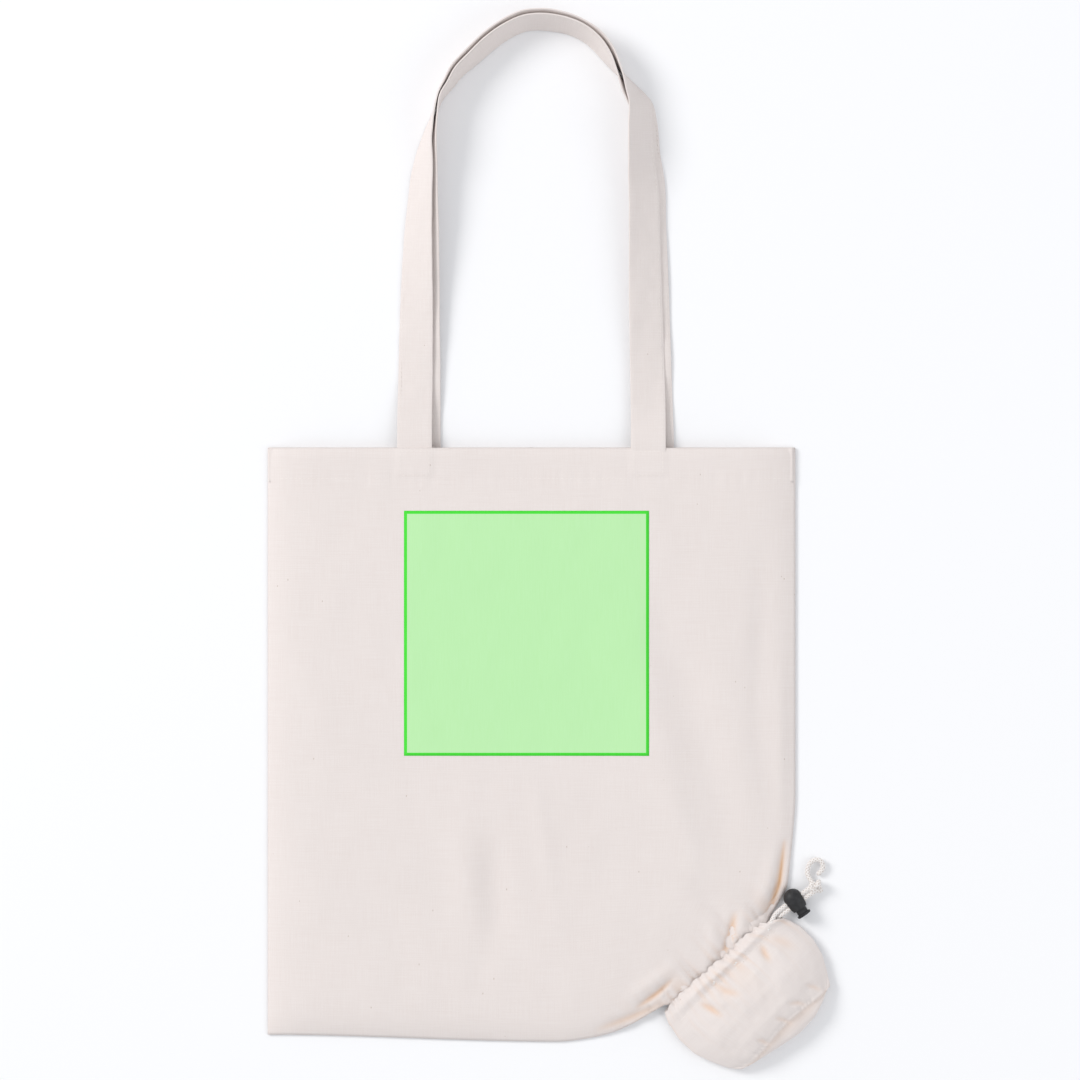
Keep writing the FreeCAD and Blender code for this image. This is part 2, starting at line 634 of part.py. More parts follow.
def cord_lock_barrel():
    """An egg-shaped barrel with a blind bore for the plunger and a slot across it."""
    half = BARREL_LENGTH / 2
    belly = BARREL_DIAMETER / 2
    mouth = BARREL_END_DIAMETER / 2
    across, along = BARREL_ROUND
    arc = Part.Arc(Vector(0, half, 0), Vector(belly * across, half * along, 0), Vector(belly, 0, 0))
    shoulder = Part.Arc(Vector(belly, 0, 0), Vector((belly + mouth) / 2 + BARREL_SHOULDER, -half * along, 0),
                        Vector(mouth, -half, 0))
    rim = Part.LineSegment(Vector(mouth, -half, 0), Vector(0, -half, 0))
    axis = Part.LineSegment(Vector(0, -half, 0), Vector(0, half, 0))
    outline = Part.Wire([edge.toShape() for edge in (arc, shoulder, rim, axis)])
    egg = Part.Face(outline).revolve(Vector(0, 0, 0), Vector(0, 1, 0), 360)
    bore_radius = PLUNGER_DIAMETER / 2 + PLUNGER_CLEARANCE
    pocket_radius = SPRING_DIAMETER / 2 + SPRING_WIRE
    floor = -half + BARREL_FLOOR
    bore_end = plunger_toe() - PLUNGER_TRAVEL - PLUNGER_CLEARANCE
    bore = turned([(0, floor), (pocket_radius, floor), (pocket_radius, bore_end), (bore_radius, bore_end),
                   (bore_radius, half + 1), (0, half + 1)])
    low, high = strand_range()
    slot = cord_slot(low - CORD_HOLE_CLEARANCE, high + CORD_HOLE_CLEARANCE, CORD_HOLE_CLEARANCE)
    return place_lock(egg.cut(bore).cut(slot))


def plunger_toe():
    """The plunger's inner end, which presses on the spring."""
    return strand_range()[0] - CORD_HOLE_CLEARANCE - PLUNGER_TOE


def cord_lock_plunger():
    """A push button whose stem has its own slot for the cord."""
    half = BARREL_LENGTH / 2
    neck_end = half + PLUNGER_NECK
    stem_radius = PLUNGER_DIAMETER / 2
    button_radius = BUTTON_DIAMETER / 2
    button_end = neck_end + BUTTON_THICKNESS
    stem = turned([(0, plunger_toe()), (stem_radius, plunger_toe()), (stem_radius, neck_end),
                   (button_radius, neck_end), (button_radius, button_end - BUTTON_CHAMFER),
                   (button_radius - BUTTON_CHAMFER, button_end), (0, button_end)])
    low, high = strand_range()
    slot = cord_slot(low - CORD_HOLE_CLEARANCE, high + CORD_HOLE_CLEARANCE + PLUNGER_TRAVEL,
                     CORD_HOLE_CLEARANCE)
    return place_lock(stem.cut(slot))


def cord_lock_spring():
    """A compression spring between the barrel's floor and the plunger."""
    floor = -BARREL_LENGTH / 2 + BARREL_FLOOR
    end_gap = PLUNGER_CLEARANCE + SPRING_WIRE / 2
    height = plunger_toe() - floor - 2 * end_gap
    steps = SPRING_TURNS * SPRING_STEPS
    sections = []
    for step in range(steps + 1):
        turn = 2 * math.pi * step / SPRING_STEPS
        along = -(floor + end_gap + height * step / steps)
        corners = []
        for corner in range(SPRING_SIDES):
            angle = 2 * math.pi * corner / SPRING_SIDES
            radius = SPRING_DIAMETER / 2 + SPRING_WIRE / 2 * math.cos(angle)
            corners.append(Vector(radius * math.cos(turn), along + SPRING_WIRE / 2 * math.sin(angle),
                                  radius * math.sin(turn)))
        sections.append(Part.makePolygon(corners + corners[:1]))
    return place_lock(Part.makeLoft(sections, True, True))


def pieces():
    """Each piece of the bag by its name."""
    front_hem_z = FRONT_UNDERSIDE - CLOTH
    back_tab_z = CLOTH + CLOTH
    return {
        "back_panel": back_panel(),
        "left_seam": left_seam(),
        "right_seam": right_seam(),
        "bottom_seam": bottom_seam(),
        "back_hem": hem(CLOTH),
        "back_hem_stitching": hem_stitching(CLOTH + CLOTH),
        "back_handle_ends": handle_ends(BACK_HANDLE_SHIFT, back_tab_z),
        "back_handle_stitching": handle_stitching(BACK_HANDLE_SHIFT, back_tab_z + TAB_THICKNESS),
        "front_panel": front_panel(),
        "front_hem": hem(front_hem_z),
        "front_hem_stitching": hem_stitching(LOFT_HEIGHT),
        "front_handle_ends": handle_ends(0, front_hem_z - TAB_THICKNESS),
        "front_handle_stitching": handle_stitching(0, LOFT_HEIGHT),
        "printed_square": print_panel(),
        "front_handle": front_handle(),
        "back_handle": back_handle(),
        "pouch_back": pouch_back(),
        "pouch_front": pouch_front(),
        "pouch_casing_back": casing(CLOTH),
        "pouch_casing_front": casing(UPPER_CASING_Z),
        "pouch_channel_stitching": channel_stitching(),
        "pouch_seam": pouch_seam(),
        "tote_corner": tote_corner(),
        "drawcord_in_channel": drawcord_in_channel(),
        "drawcord_hooked_end": drawcord_hooked_end(),
        "drawcord_short_end": drawcord_short_end(),
        "drawcord_knot": drawcord_knot(),
        "cord_lock_barrel": cord_lock_barrel(),
        "cord_lock_plunger": cord_lock_plunger(),
        "cord_lock_spring": cord_lock_spring(),
    }


def main():
    os.makedirs("parts", exist_ok=True)
    for name, shape in pieces().items():
        size = shape.BoundBox
        print(f"{name}: valid {shape.isValid()}, solids {len(shape.Solids)}, volume {shape.Volume:.1f}, "
              f"z {size.ZMin:.2f} to {size.ZMax:.2f}")
        shape.exportStep(os.path.join("parts", name + ".step"))


main()
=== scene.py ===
# %% [markdown]
# # A foldable cotton tote bag
# The real thing is a plain cotton shopping bag with two long straps. A small drawstring pouch
# is sewn to one bottom corner, and the whole bag folds away into it. This lesson models it
# lying on a table, piece by piece. The engineering model gives every size and place, and each
# cloth piece made here stands in for the plain solid of the same part.

# %% Load the frame
import bpy
import json
import math
import numpy as np
from mathutils import Matrix, Vector


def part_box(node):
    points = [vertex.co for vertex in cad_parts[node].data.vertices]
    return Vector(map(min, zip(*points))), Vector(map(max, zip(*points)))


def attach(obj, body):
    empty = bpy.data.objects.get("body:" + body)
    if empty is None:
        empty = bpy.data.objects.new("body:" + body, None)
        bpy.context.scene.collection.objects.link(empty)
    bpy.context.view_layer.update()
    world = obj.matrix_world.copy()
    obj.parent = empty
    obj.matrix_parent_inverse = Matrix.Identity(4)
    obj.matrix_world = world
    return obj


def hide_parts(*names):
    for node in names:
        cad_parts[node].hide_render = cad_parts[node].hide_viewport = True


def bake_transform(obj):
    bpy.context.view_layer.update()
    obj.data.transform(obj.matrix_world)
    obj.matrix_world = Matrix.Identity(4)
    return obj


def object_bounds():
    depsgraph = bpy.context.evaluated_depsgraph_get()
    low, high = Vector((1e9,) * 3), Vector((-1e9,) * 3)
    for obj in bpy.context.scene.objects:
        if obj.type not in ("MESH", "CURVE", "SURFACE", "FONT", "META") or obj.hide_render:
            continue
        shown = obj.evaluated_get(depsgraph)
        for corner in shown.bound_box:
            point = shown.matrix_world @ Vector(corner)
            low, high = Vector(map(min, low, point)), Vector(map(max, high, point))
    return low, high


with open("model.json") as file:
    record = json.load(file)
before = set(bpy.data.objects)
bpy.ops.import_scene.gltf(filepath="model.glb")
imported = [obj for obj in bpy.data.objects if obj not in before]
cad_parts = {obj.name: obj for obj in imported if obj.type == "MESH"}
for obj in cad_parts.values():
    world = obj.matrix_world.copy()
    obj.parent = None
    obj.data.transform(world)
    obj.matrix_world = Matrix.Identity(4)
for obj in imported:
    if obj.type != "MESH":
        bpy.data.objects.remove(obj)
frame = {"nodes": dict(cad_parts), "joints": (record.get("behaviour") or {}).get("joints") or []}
cad_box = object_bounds()
MM = 0.001

# %% [markdown]
# ## Sizes taken from the engineering model
# Every length below is in millimetres, because a sewing pattern is. A helper turns finished
# points into metres just before they go into a mesh. The joints give the places where cloth
# has to bend: the mouth of the bag, the roots of the straps, and the neck of the pouch.

# %% Read the sizes
def box_mm(node):
    """A node's lowest and highest corners in millimetres."""
    return [np.array(corner, float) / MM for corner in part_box(node)]


joints = {joint["name"]: joint for joint in frame["joints"]}
HALF_WIDTH, HALF_HEIGHT = box_mm("back_panel")[1][:2]
HEM_DEPTH = box_mm("front_hem")[1][1] - box_mm("front_hem")[0][1]
FRONT_TOP = box_mm("front_panel")[1][2]
HEM_ROW = HALF_HEIGHT - HEM_DEPTH + 1.5
STRAP_WIDTH = 25.0
HANDLE_HALF_SPACING = 84.0
TAB = 20.0
MOUTH = np.array(joints["pouch_fold"]["pos_m"][:2]) / MM
POUCH_ANGLE = math.radians(42)
ALONG = np.array([math.cos(POUCH_ANGLE), math.sin(POUCH_ANGLE)])
INTO = np.array([math.sin(POUCH_ANGLE), -math.cos(POUCH_ANGLE)])
print("panel", 2 * HALF_WIDTH, "x", 2 * HALF_HEIGHT, "hem", round(HEM_DEPTH, 1), "pouch mouth at", MOUTH)

# %% [markdown]
# ## Camera, floor and light
# The bag is seen from straight above with a long lens, so that nothing is wider at the edges.
# The floor is a pale table top. A large soft lamp on the left makes the cloth's low folds
# readable, and the sky fills the shadows so that they stay pale.

# %% Camera
VIEW_CENTRE = (6.1, 145.2)
VIEW_WIDTH = 778.1
CAMERA_HEIGHT = 2900.0
SENSOR = 36.0

bpy.ops.object.camera_add(location=(VIEW_CENTRE[0] * MM, VIEW_CENTRE[1] * MM, CAMERA_HEIGHT * MM),
                          rotation=(0, 0, 0))
camera = bpy.context.active_object
camera.name = "camera"
camera.data.sensor_width = SENSOR
camera.data.lens = SENSOR * CAMERA_HEIGHT / VIEW_WIDTH
bpy.context.scene.camera = camera
bpy.context.scene.view_settings.view_transform = "Standard"
print("lens", round(camera.data.lens, 1), "mm")

# %% Helpers for meshes
def deselect_all():
    bpy.ops.object.select_all(action="DESELECT")


def finish_new(name):
    """Name the object that an operator has just made, and put its place into its mesh."""
    piece = bpy.context.active_object
    piece.name = name
    piece.data.name = name
    bpy.ops.object.transform_apply(location=True, rotation=True, scale=True)
    return piece


def make_active(piece):
    """Select one piece and make it the one that operators work on."""
    deselect_all()
    piece.select_set(True)
    bpy.context.view_layer.objects.active = piece


def read_points(piece):
    """The mesh's points in metres, one row each."""
    points = np.empty(len(piece.data.vertices) * 3)
    piece.data.vertices.foreach_get("co", points)
    return points.reshape(-1, 3)


def write_points(piece, points):
    """Move the mesh to new points in metres."""
    piece.data.vertices.foreach_set("co", np.ascontiguousarray(points, float).ravel())
    piece.data.update()


def new_piece(name, points, faces):
    """An object at the origin with a mesh from points in metres and faces."""
    mesh = bpy.data.meshes.new(name)
    mesh.from_pydata(points.reshape(-1, 3).tolist(), [], faces)
    piece = bpy.data.objects.new(name, mesh)
    bpy.context.collection.objects.link(piece)
    return piece


def face_outward(piece):
    """Turn the normals of all faces the same way, outwards on a closed piece."""
    make_active(piece)
    bpy.ops.object.mode_set(mode="EDIT")
    bpy.ops.mesh.select_all(action="SELECT")
    bpy.ops.mesh.normals_make_consistent(inside=False)
    bpy.ops.object.mode_set(mode="OBJECT")


def add_modifier(piece, kind, **values):
    """Add one modifier, set it and apply it."""
    make_active(piece)
    modifier = piece.modifiers.new(kind.title(), kind)
    for key, value in values.items():
        setattr(modifier, key, value)
    bpy.ops.object.modifier_apply(modifier=modifier.name)


def shade_smooth(piece):
    make_active(piece)
    bpy.ops.object.shade_smooth()


def step_between(value, low, high):
    """0 before low, 1 after high, and a smooth rise between them."""
    share = np.clip((np.asarray(value, float) - low) / (high - low), 0, 1)
    return share * share * (3 - 2 * share)


# %% Floor and light
floor_z = cad_box[0][2] - 0.0002
bpy.ops.mesh.primitive_plane_add(size=12, location=(0, 0.15, floor_z))
floor = finish_new("floor")


def lamp(name, place, target, size, power, colour):
    """A round soft lamp that faces its target."""
    bpy.ops.object.light_add(type="AREA", location=place)
    light = bpy.context.active_object
    light.name = name
    light.data.shape = "DISK"
    light.data.size = size
    light.data.energy = power
    light.data.color = colour
    light.rotation_euler = (Vector(target) - Vector(place)).to_track_quat("-Z", "Y").to_euler()
    return light


lamp("key_left", (-4.1, 2.3, 3.4), (0.0, 0.1, 0.0), 2.4, 168, (1.0, 0.985, 0.97))
lamp("fill_right", (2.2, -0.6, 2.0), (0.0, 0.1, 0.0), 2.2, 14, (0.96, 0.98, 1.0))
world = bpy.data.worlds.new("studio")
bpy.context.scene.world = world
world.use_nodes = True
world.node_tree.nodes["Background"].inputs["Color"].default_value = (0.97, 0.98, 1.0, 1)
world.node_tree.nodes["Background"].inputs["Strength"].default_value = 0.695
print("floor at", round(floor_z / MM, 2), "mm")

# %% [markdown]
# ## Materials
# Cheap natural cotton has a fine plain weave, thicker yarns here and there that run along the
# cloth, and tiny brown specks of seed. All three are patterns on the cloth's own flat
# coordinates, so they follow every fold. A second attribute paints warm shade into the
# colour in deep creases, standing in for the warmer light that has passed through the cloth.

# %% Node helpers
def new_material(name, colour, roughness):
    """A material with its nodes, links and shader at hand."""
    material = bpy.data.materials.new(name)
    material.use_nodes = True
    nodes = material.node_tree.nodes
    shader = nodes["Principled BSDF"]
    shader.inputs["Base Color"].default_value = (*colour, 1)
    shader.inputs["Roughness"].default_value = roughness
    return material, nodes, material.node_tree.links, shader


def math_node(nodes, links, kind, first, second=None):
    node = nodes.new("ShaderNodeMath")
    node.operation = kind
    for index, value in enumerate((first, second)):
        if value is None:
            continue
        if isinstance(value, (int, float)):
            node.inputs[index].default_value = value
        else:
            links.new(value, node.inputs[index])
    return node.outputs[0]


def mix_colour(nodes, links, share, first, second):
    node = nodes.new("ShaderNodeMix")
    node.data_type = "RGBA"
    for socket, value in ((node.inputs[0], share), (node.inputs[6], first), (node.inputs[7], second)):
        if isinstance(value, tuple):
            socket.default_value = (*value, 1)
        elif isinstance(value, (int, float)):
            socket.default_value = value
        else:
            links.new(value, socket)
    return node.outputs[2]


def scaled(nodes, links, vector, scale):
    """Coordinates multiplied along each axis."""
    node = nodes.new("ShaderNodeMapping")
    node.inputs["Scale"].default_value = scale
    links.new(vector, node.inputs["Vector"])
    return node.outputs["Vector"]


def noise(nodes, links, vector, scale, detail):
    """Soft random cloudiness from 0 to 1."""
    node = nodes.new("ShaderNodeTexNoise")
    node.inputs["Scale"].default_value = scale
    node.inputs["Detail"].default_value = detail
    links.new(vector, node.inputs["Vector"])
    return node.outputs["Fac"]


def spread(nodes, links, value, low, high):
    """Stretch a value so that low becomes 0 and high becomes 1."""
    node = nodes.new("ShaderNodeMapRange")
    node.inputs["From Min"].default_value = low
    node.inputs["From Max"].default_value = high
    links.new(value, node.inputs["Value"])
    return node.outputs["Result"]


def bump(nodes, links, shader, height, distance, strength):
    """Fine relief that only the light sees."""
    node = nodes.new("ShaderNodeBump")
    node.inputs["Distance"].default_value = distance
    node.inputs["Strength"].default_value = strength
    links.new(height, node.inputs["Height"])
    links.new(node.outputs["Normal"], shader.inputs["Normal"])


# %% Cotton cloth
COTTON = (0.785, 0.713, 0.683)
COTTON_PALE = (0.82, 0.757, 0.731)
# The colour of the warm shade painted into deep creases and gathers.
PAINTED_WARM_SHADE = (0.80, 0.47, 0.24)
SEED = (0.30, 0.19, 0.10)
YARN_PITCH = 0.45


def cotton(name, weave_depth):
    """Natural cotton, patterned on the cloth's flat coordinates in metres."""
    material, nodes, links, shader = new_material(name, COTTON, 0.92)
    uv = nodes.new("ShaderNodeUVMap").outputs["UV"]
    slubs = noise(nodes, links, scaled(nodes, links, uv, (1500, 45, 1)), 1.0, 3.0)
    cross_slubs = noise(nodes, links, scaled(nodes, links, uv, (40, 1400, 1)), 1.0, 3.0)
    mottle = noise(nodes, links, scaled(nodes, links, uv, (1, 1, 1)), 22.0, 4.0)
    streaks = math_node(nodes, links, "ADD", slubs, cross_slubs)
    tone = spread(nodes, links, streaks, 0.75, 1.3)
    colour = mix_colour(nodes, links, tone, COTTON, COTTON_PALE)
    patch = math_node(nodes, links, "MULTIPLY", spread(nodes, links, mottle, 0.35, 0.75), 0.35)
    colour = mix_colour(nodes, links, patch, colour, COTTON_PALE)
    cells = nodes.new("ShaderNodeTexVoronoi")
    cells.inputs["Scale"].default_value = 1.0
    links.new(scaled(nodes, links, uv, (115, 62, 1)), cells.inputs["Vector"])
    chance = nodes.new("ShaderNodeSeparateColor")
    links.new(cells.outputs["Color"], chance.inputs["Color"])
    near = math_node(nodes, links, "LESS_THAN", cells.outputs["Distance"], 0.045)
    rare = math_node(nodes, links, "GREATER_THAN", chance.outputs["Red"], 0.62)
    speck = math_node(nodes, links, "MULTIPLY", math_node(nodes, links, "MULTIPLY", near, rare), 0.36)
    colour = mix_colour(nodes, links, speck, colour, SEED)
    # Warm shade painted into the colour in deep creases and gathers, read from an attribute set on each
    # piece.
    shade_weight = nodes.new("ShaderNodeAttribute")
    shade_weight.attribute_name = "painted_crease_shade"
    colour = mix_colour(nodes, links, shade_weight.outputs["Fac"], colour, PAINTED_WARM_SHADE)
    links.new(colour, shader.inputs["Base Color"])
    turns = 2 * math.pi / (YARN_PITCH * MM)
    parts = nodes.new("ShaderNodeSeparateXYZ")
    links.new(uv, parts.inputs["Vector"])
    warp = math_node(nodes, links, "SINE", math_node(nodes, links, "MULTIPLY", parts.outputs["X"], turns))
    weft = math_node(nodes, links, "SINE", math_node(nodes, links, "MULTIPLY", parts.outputs["Y"], turns))
    weave = math_node(nodes, links, "MULTIPLY", warp, weft)
    height = math_node(nodes, links, "ADD", math_node(nodes, links, "MULTIPLY", weave, 0.35), streaks)
    bump(nodes, links, shader, height, weave_depth, 0.5)
    shader.inputs["Specular IOR Level"].default_value = 0.2
    shader.inputs["Sheen Weight"].default_value = 0.12
    shader.inputs["Sheen Roughness"].default_value = 0.6
    return material


cloth_material = cotton("natural_cotton", 0.00012)
strap_material = cotton("strap_cotton", 0.00016)

# %% Thread, print ink, drawcord and plastic
def thread():
    """Twisted sewing thread, with its twist across each stitch."""
    material, nodes, links, shader = new_material("sewing_thread", (0.86, 0.80, 0.76), 0.75)
    place = nodes.new("ShaderNodeTexCoord").outputs["Object"]
    twist = noise(nodes, links, place, 2600.0, 2.0)
    colour = mix_colour(nodes, links, twist, (0.80, 0.74, 0.70), (0.92, 0.87, 0.83))
    links.new(colour, shader.inputs["Base Color"])
    bump(nodes, links, shader, twist, 0.0001, 0.6)
    return material


def ink(name, colour, paler):
    """Water-based screen print: flat colour that the weave still shows through."""
    material, nodes, links, shader = new_material(name, colour, 0.85)
    uv = nodes.new("ShaderNodeUVMap").outputs["UV"]
    fibres = noise(nodes, links, scaled(nodes, links, uv, (1500, 60, 1)), 1.0, 3.0)
    links.new(mix_colour(nodes, links, spread(nodes, links, fibres, 0.3, 0.8), colour, paler),
              shader.inputs["Base Color"])
    bump(nodes, links, shader, fibres, 0.00006, 0.4)
    shader.inputs["Specular IOR Level"].default_value = 0.15
    return material


def cord_cotton():
    """Soft braided cotton with fibre fuzz, and shade painted darker into the hollows between the strands."""
    material, nodes, links, shader = new_material("drawcord_cotton", (0.87, 0.84, 0.82), 0.9)
    place = nodes.new("ShaderNodeTexCoord").outputs["Object"]
    fibres = noise(nodes, links, place, 1900.0, 3.0)
    # Shade painted darker into the colour in the hollows between the strands.
    painted_hollow_shade = nodes.new("ShaderNodeAttribute")
    painted_hollow_shade.attribute_name = "painted_hollow_shade"
    colour = mix_colour(nodes, links, fibres, (0.82, 0.78, 0.75), (0.93, 0.91, 0.90))
    colour = mix_colour(nodes, links, painted_hollow_shade.outputs["Fac"], colour, (0.56, 0.48, 0.43))
    links.new(colour, shader.inputs["Base Color"])
    bump(nodes, links, shader, fibres, 0.0002, 0.5)
    shader.inputs["Sheen Weight"].default_value = 0.2
    return material


def plastic():
    """Moulded black plastic with the fine grain of a spark-eroded mould."""
    material, nodes, links, shader = new_material("black_plastic", (0.012, 0.012, 0.014), 0.42)
    place = nodes.new("ShaderNodeTexCoord").outputs["Object"]
    grain = noise(nodes, links, place, 3200.0, 2.0)
    wear = noise(nodes, links, place, 260.0, 3.0)
    links.new(mix_colour(nodes, links, spread(nodes, links, wear, 0.45, 0.8), (0.010, 0.010, 0.012),
                         (0.028, 0.028, 0.031)), shader.inputs["Base Color"])
    links.new(spread(nodes, links, wear, -1.2, 1.9), shader.inputs["Roughness"])
    bump(nodes, links, shader, grain, 0.00004, 0.35)
    return material


def steel():
    """Drawn spring wire, with faint lines from the die."""
    material, nodes, links, shader = new_material("spring_wire", (0.55, 0.55, 0.56), 0.3)
    shader.inputs["Metallic"].default_value = 1.0
    place = nodes.new("ShaderNodeTexCoord").outputs["Object"]
    bump(nodes, links, shader, noise(nodes, links, place, 3000.0, 2.0), 0.00002, 0.3)
    return material


def table_top():
    """A matte white table top with very faint mottling."""
    material, nodes, links, shader = new_material("table_top", (0.93, 0.935, 0.95), 0.8)
    place = nodes.new("ShaderNodeTexCoord").outputs["Object"]
    cloud = noise(nodes, links, place, 1.5, 2.0)
    links.new(mix_colour(nodes, links, cloud, (0.925, 0.93, 0.947), (0.94, 0.943, 0.955)),
              shader.inputs["Base Color"])
    shader.inputs["Specular IOR Level"].default_value = 0.1
    return material


thread_material = thread()
print_fill = ink("print_fill", (0.495, 0.83, 0.42), (0.52, 0.85, 0.455))
print_border = ink("print_border", (0.065, 0.72, 0.04), (0.08, 0.76, 0.06))
cord_material = cord_cotton()
plastic_material = plastic()
steel_material = steel()
floor.data.materials.append(table_top())


def dress(piece, body, slot, *materials):
    """Give a piece its materials, and its body if one is named. The slot is not used."""
    piece.data.materials.clear()
    for material in materials:
        piece.data.materials.append(material)
    if body:
        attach(piece, body)


def dress_node(node, material):
    """Give a part of the engineering model its material."""
    target = frame["nodes"][node]
    target.data.materials.clear()
    target.data.materials.append(material)


dress_node("cord_lock_barrel", plastic_material)
dress_node("cord_lock_plunger", plastic_material)
dress_node("cord_lock_spring", steel_material)

# %% [markdown]
# ## The drawcord
# The cord is 3.6 mm braided cotton. It comes out of the pouch's channel, goes through the cord
# lock and ends in a knot, with one short tail and one tail that curls back like a hook. Its
# line is one smooth curve through a few chosen points, and its braid is real relief: a tube
# of many rings whose surface rises and falls where the strands cross.

# %% Where the cord runs
CORD_DIAMETER = 3.6
CORD_ANGLE = math.radians(35)
LOCK_PLACE = (188.6, -113.2)
CORD_HOLE_OFFSET = 1.9


def lock_point(along, across, height):
    """A point in the cord lock's own axes: along the cord, across it, and above the table."""
    offset = across + CORD_HOLE_OFFSET
    x = LOCK_PLACE[0] + along * math.cos(CORD_ANGLE) + offset * math.sin(CORD_ANGLE)
    y = LOCK_PLACE[1] + along * math.sin(CORD_ANGLE) - offset * math.cos(CORD_ANGLE)
    return (x, y, height)


def pouch_plan(u, v):
    """Where a place in the pouch's own axes, along its mouth and into it, is on the table."""
    return MOUTH[0] + u * ALONG[0] + v * INTO[0], MOUTH[1] + u * ALONG[1] + v * INTO[1]


def pouch_place(u, v, height):
    """A point in the pouch's own axes: along its mouth, into the pouch, and above the table."""
    return (*pouch_plan(u, v), height)


UPPER_OUTLET = (171.12, -131.77, 10.45)
LOWER_OUTLET = (172.10, -133.16, 4.2)
HOOKED_END = [UPPER_OUTLET, lock_point(-19.5, -0.2, 8.0), lock_point(-13, -1.85, 6.7),
              lock_point(10.5, -1.85, 6.7), lock_point(18, -2.3, 5.6), lock_point(17.8, -11.6, 2.4),
              lock_point(25.8, -17.8, 3.2), lock_point(33, -13.7, 3.6), lock_point(29.8, -6.2, 2.6),
              lock_point(23.8, -6.5, 1.9)]
SHORT_END = [LOWER_OUTLET, lock_point(-19.5, 3.2, 5.4), lock_point(-13, 1.85, 6.7),
             lock_point(10.5, 1.85, 6.7), lock_point(18.4, 1.7, 5.1), lock_point(20, 5.4, 2.9)]
IN_CHANNEL = [UPPER_OUTLET, pouch_place(41, 7, 8.4), pouch_place(30, 7, 10.4), pouch_place(14, 7, 12.0),
              pouch_place(-14, 7, 12.0), pouch_place(-30, 7, 10.2), pouch_place(-43, 7, 7.4),
              pouch_place(-46, 7, 4.4), pouch_place(-40, 7, 3.0), pouch_place(36, 7, 3.0), LOWER_OUTLET]

# %% Read a smooth line through the chosen points
def smooth_line(points, resolution=24):
    """The points of a NURBS spline in metres, read from a curve with no bevel."""
    curve = bpy.data.curves.new("cord_line", "CURVE")
    curve.dimensions = "3D"
    spline = curve.splines.new("NURBS")
    spline.points.add(len(points) - 1)
    for control, point in zip(spline.points, points):
        control.co = (point[0] * MM, point[1] * MM, point[2] * MM, 1)
    spline.order_u = 3
    spline.use_endpoint_u = True
    spline.resolution_u = resolution
    holder = bpy.data.objects.new("cord_line", curve)
    bpy.context.collection.objects.link(holder)
    mesh = bpy.data.meshes.new_from_object(holder)
    line = np.array([vertex.co for vertex in mesh.vertices], float)
    bpy.data.objects.remove(holder)
    bpy.data.meshes.remove(mesh)
    bpy.data.curves.remove(curve)
    return line


def evenly(line, step, closed=False):
    """The same line with points a fixed step apart."""
    if closed:
        line = np.vstack([line, line[:1]])
    lengths = np.concatenate([[0], np.cumsum(np.linalg.norm(np.diff(line, axis=0), axis=1))])
    count = max(int(round(lengths[-1] / step)), 8)
    places = np.linspace(0, lengths[-1], count + 1)
    if closed:
        places = places[:-1]
    return np.stack([np.interp(places, lengths, line[:, axis]) for axis in range(3)], axis=1), lengths[-1]


# %% A braided tube along a line
BRAID_SIDES = 24
BRAID_STRANDS = 4
BRAID_PITCH = 5.2 * MM
BRAID_RELIEF = 0.34 * MM
RING_STEP = 0.36 * MM
CUT_END_ROUND = 0.9 * MM


def frames_along(line, closed=False):
    """A pair of sideways directions at each point of a line, turning as little as possible."""
    if closed:
        tangents = np.roll(line, -1, axis=0) - np.roll(line, 1, axis=0)
    else:
        tangents = np.gradient(line, axis=0)
    tangents /= np.linalg.norm(tangents, axis=1)[:, None]
    side = np.cross(tangents[0], (0.0, 0.0, 1.0))
    if np.linalg.norm(side) < 0.2:
        side = np.cross(tangents[0], (1.0, 0.0, 0.0))
    sides = []
    for tangent in tangents:
        side = side - tangent * side.dot(tangent)
        side = side / np.linalg.norm(side)
        sides.append(side)
    sides = np.array(sides)
    return sides, np.cross(tangents, sides)


def braided_tube(name, line, closed=False):
    """A cord: one ring of points per step, with the strands of a round braid as relief."""
    line, length = evenly(line, RING_STEP, closed)
    sides, ups = frames_along(line, closed)
    rings = len(line)
    turns = 2 * math.pi * round(length / BRAID_PITCH) * np.arange(rings) / rings
    angles = 2 * math.pi * np.arange(BRAID_SIDES) / BRAID_SIDES
    right = np.cos(BRAID_STRANDS * angles[None, :] + turns[:, None] * BRAID_STRANDS / 2)
    left = np.cos(BRAID_STRANDS * angles[None, :] - turns[:, None] * BRAID_STRANDS / 2)
    weave = np.maximum(right, left)
    radius = CORD_DIAMETER * MM / 2 - BRAID_RELIEF * (1 - weave) / 2
    if not closed:
        from_end = np.minimum(np.arange(rings), np.arange(rings)[::-1]) * RING_STEP
        radius = radius * np.sqrt(np.clip(from_end / CUT_END_ROUND + 0.15, 0, 1))[:, None]
    points = (line[:, None, :] + sides[:, None, :] * (np.cos(angles) * radius)[:, :, None]
              + ups[:, None, :] * (np.sin(angles) * radius)[:, :, None])
    faces = []
    for ring in range(rings if closed else rings - 1):
        after = (ring + 1) % rings
        for side in range(BRAID_SIDES):
            beside = (side + 1) % BRAID_SIDES
            faces.append((ring * BRAID_SIDES + side, ring * BRAID_SIDES + beside,
                          after * BRAID_SIDES + beside, after * BRAID_SIDES + side))
    if not closed:
        faces.append(tuple(range(BRAID_SIDES))[::-1])
        faces.append(tuple((rings - 1) * BRAID_SIDES + side for side in range(BRAID_SIDES)))
    piece = new_piece(name, points, faces)
    # How much shade to paint into the colour in the hollows between the strands.
    painted_hollow_shade = piece.data.attributes.new("painted_hollow_shade", "FLOAT", "POINT")
    painted_hollow_shade.data.foreach_set("value", (np.clip(0.5 - weave, 0, 1) * 0.9).ravel().astype(np.float32))
    face_outward(piece)
    shade_smooth(piece)
    return piece, line, length


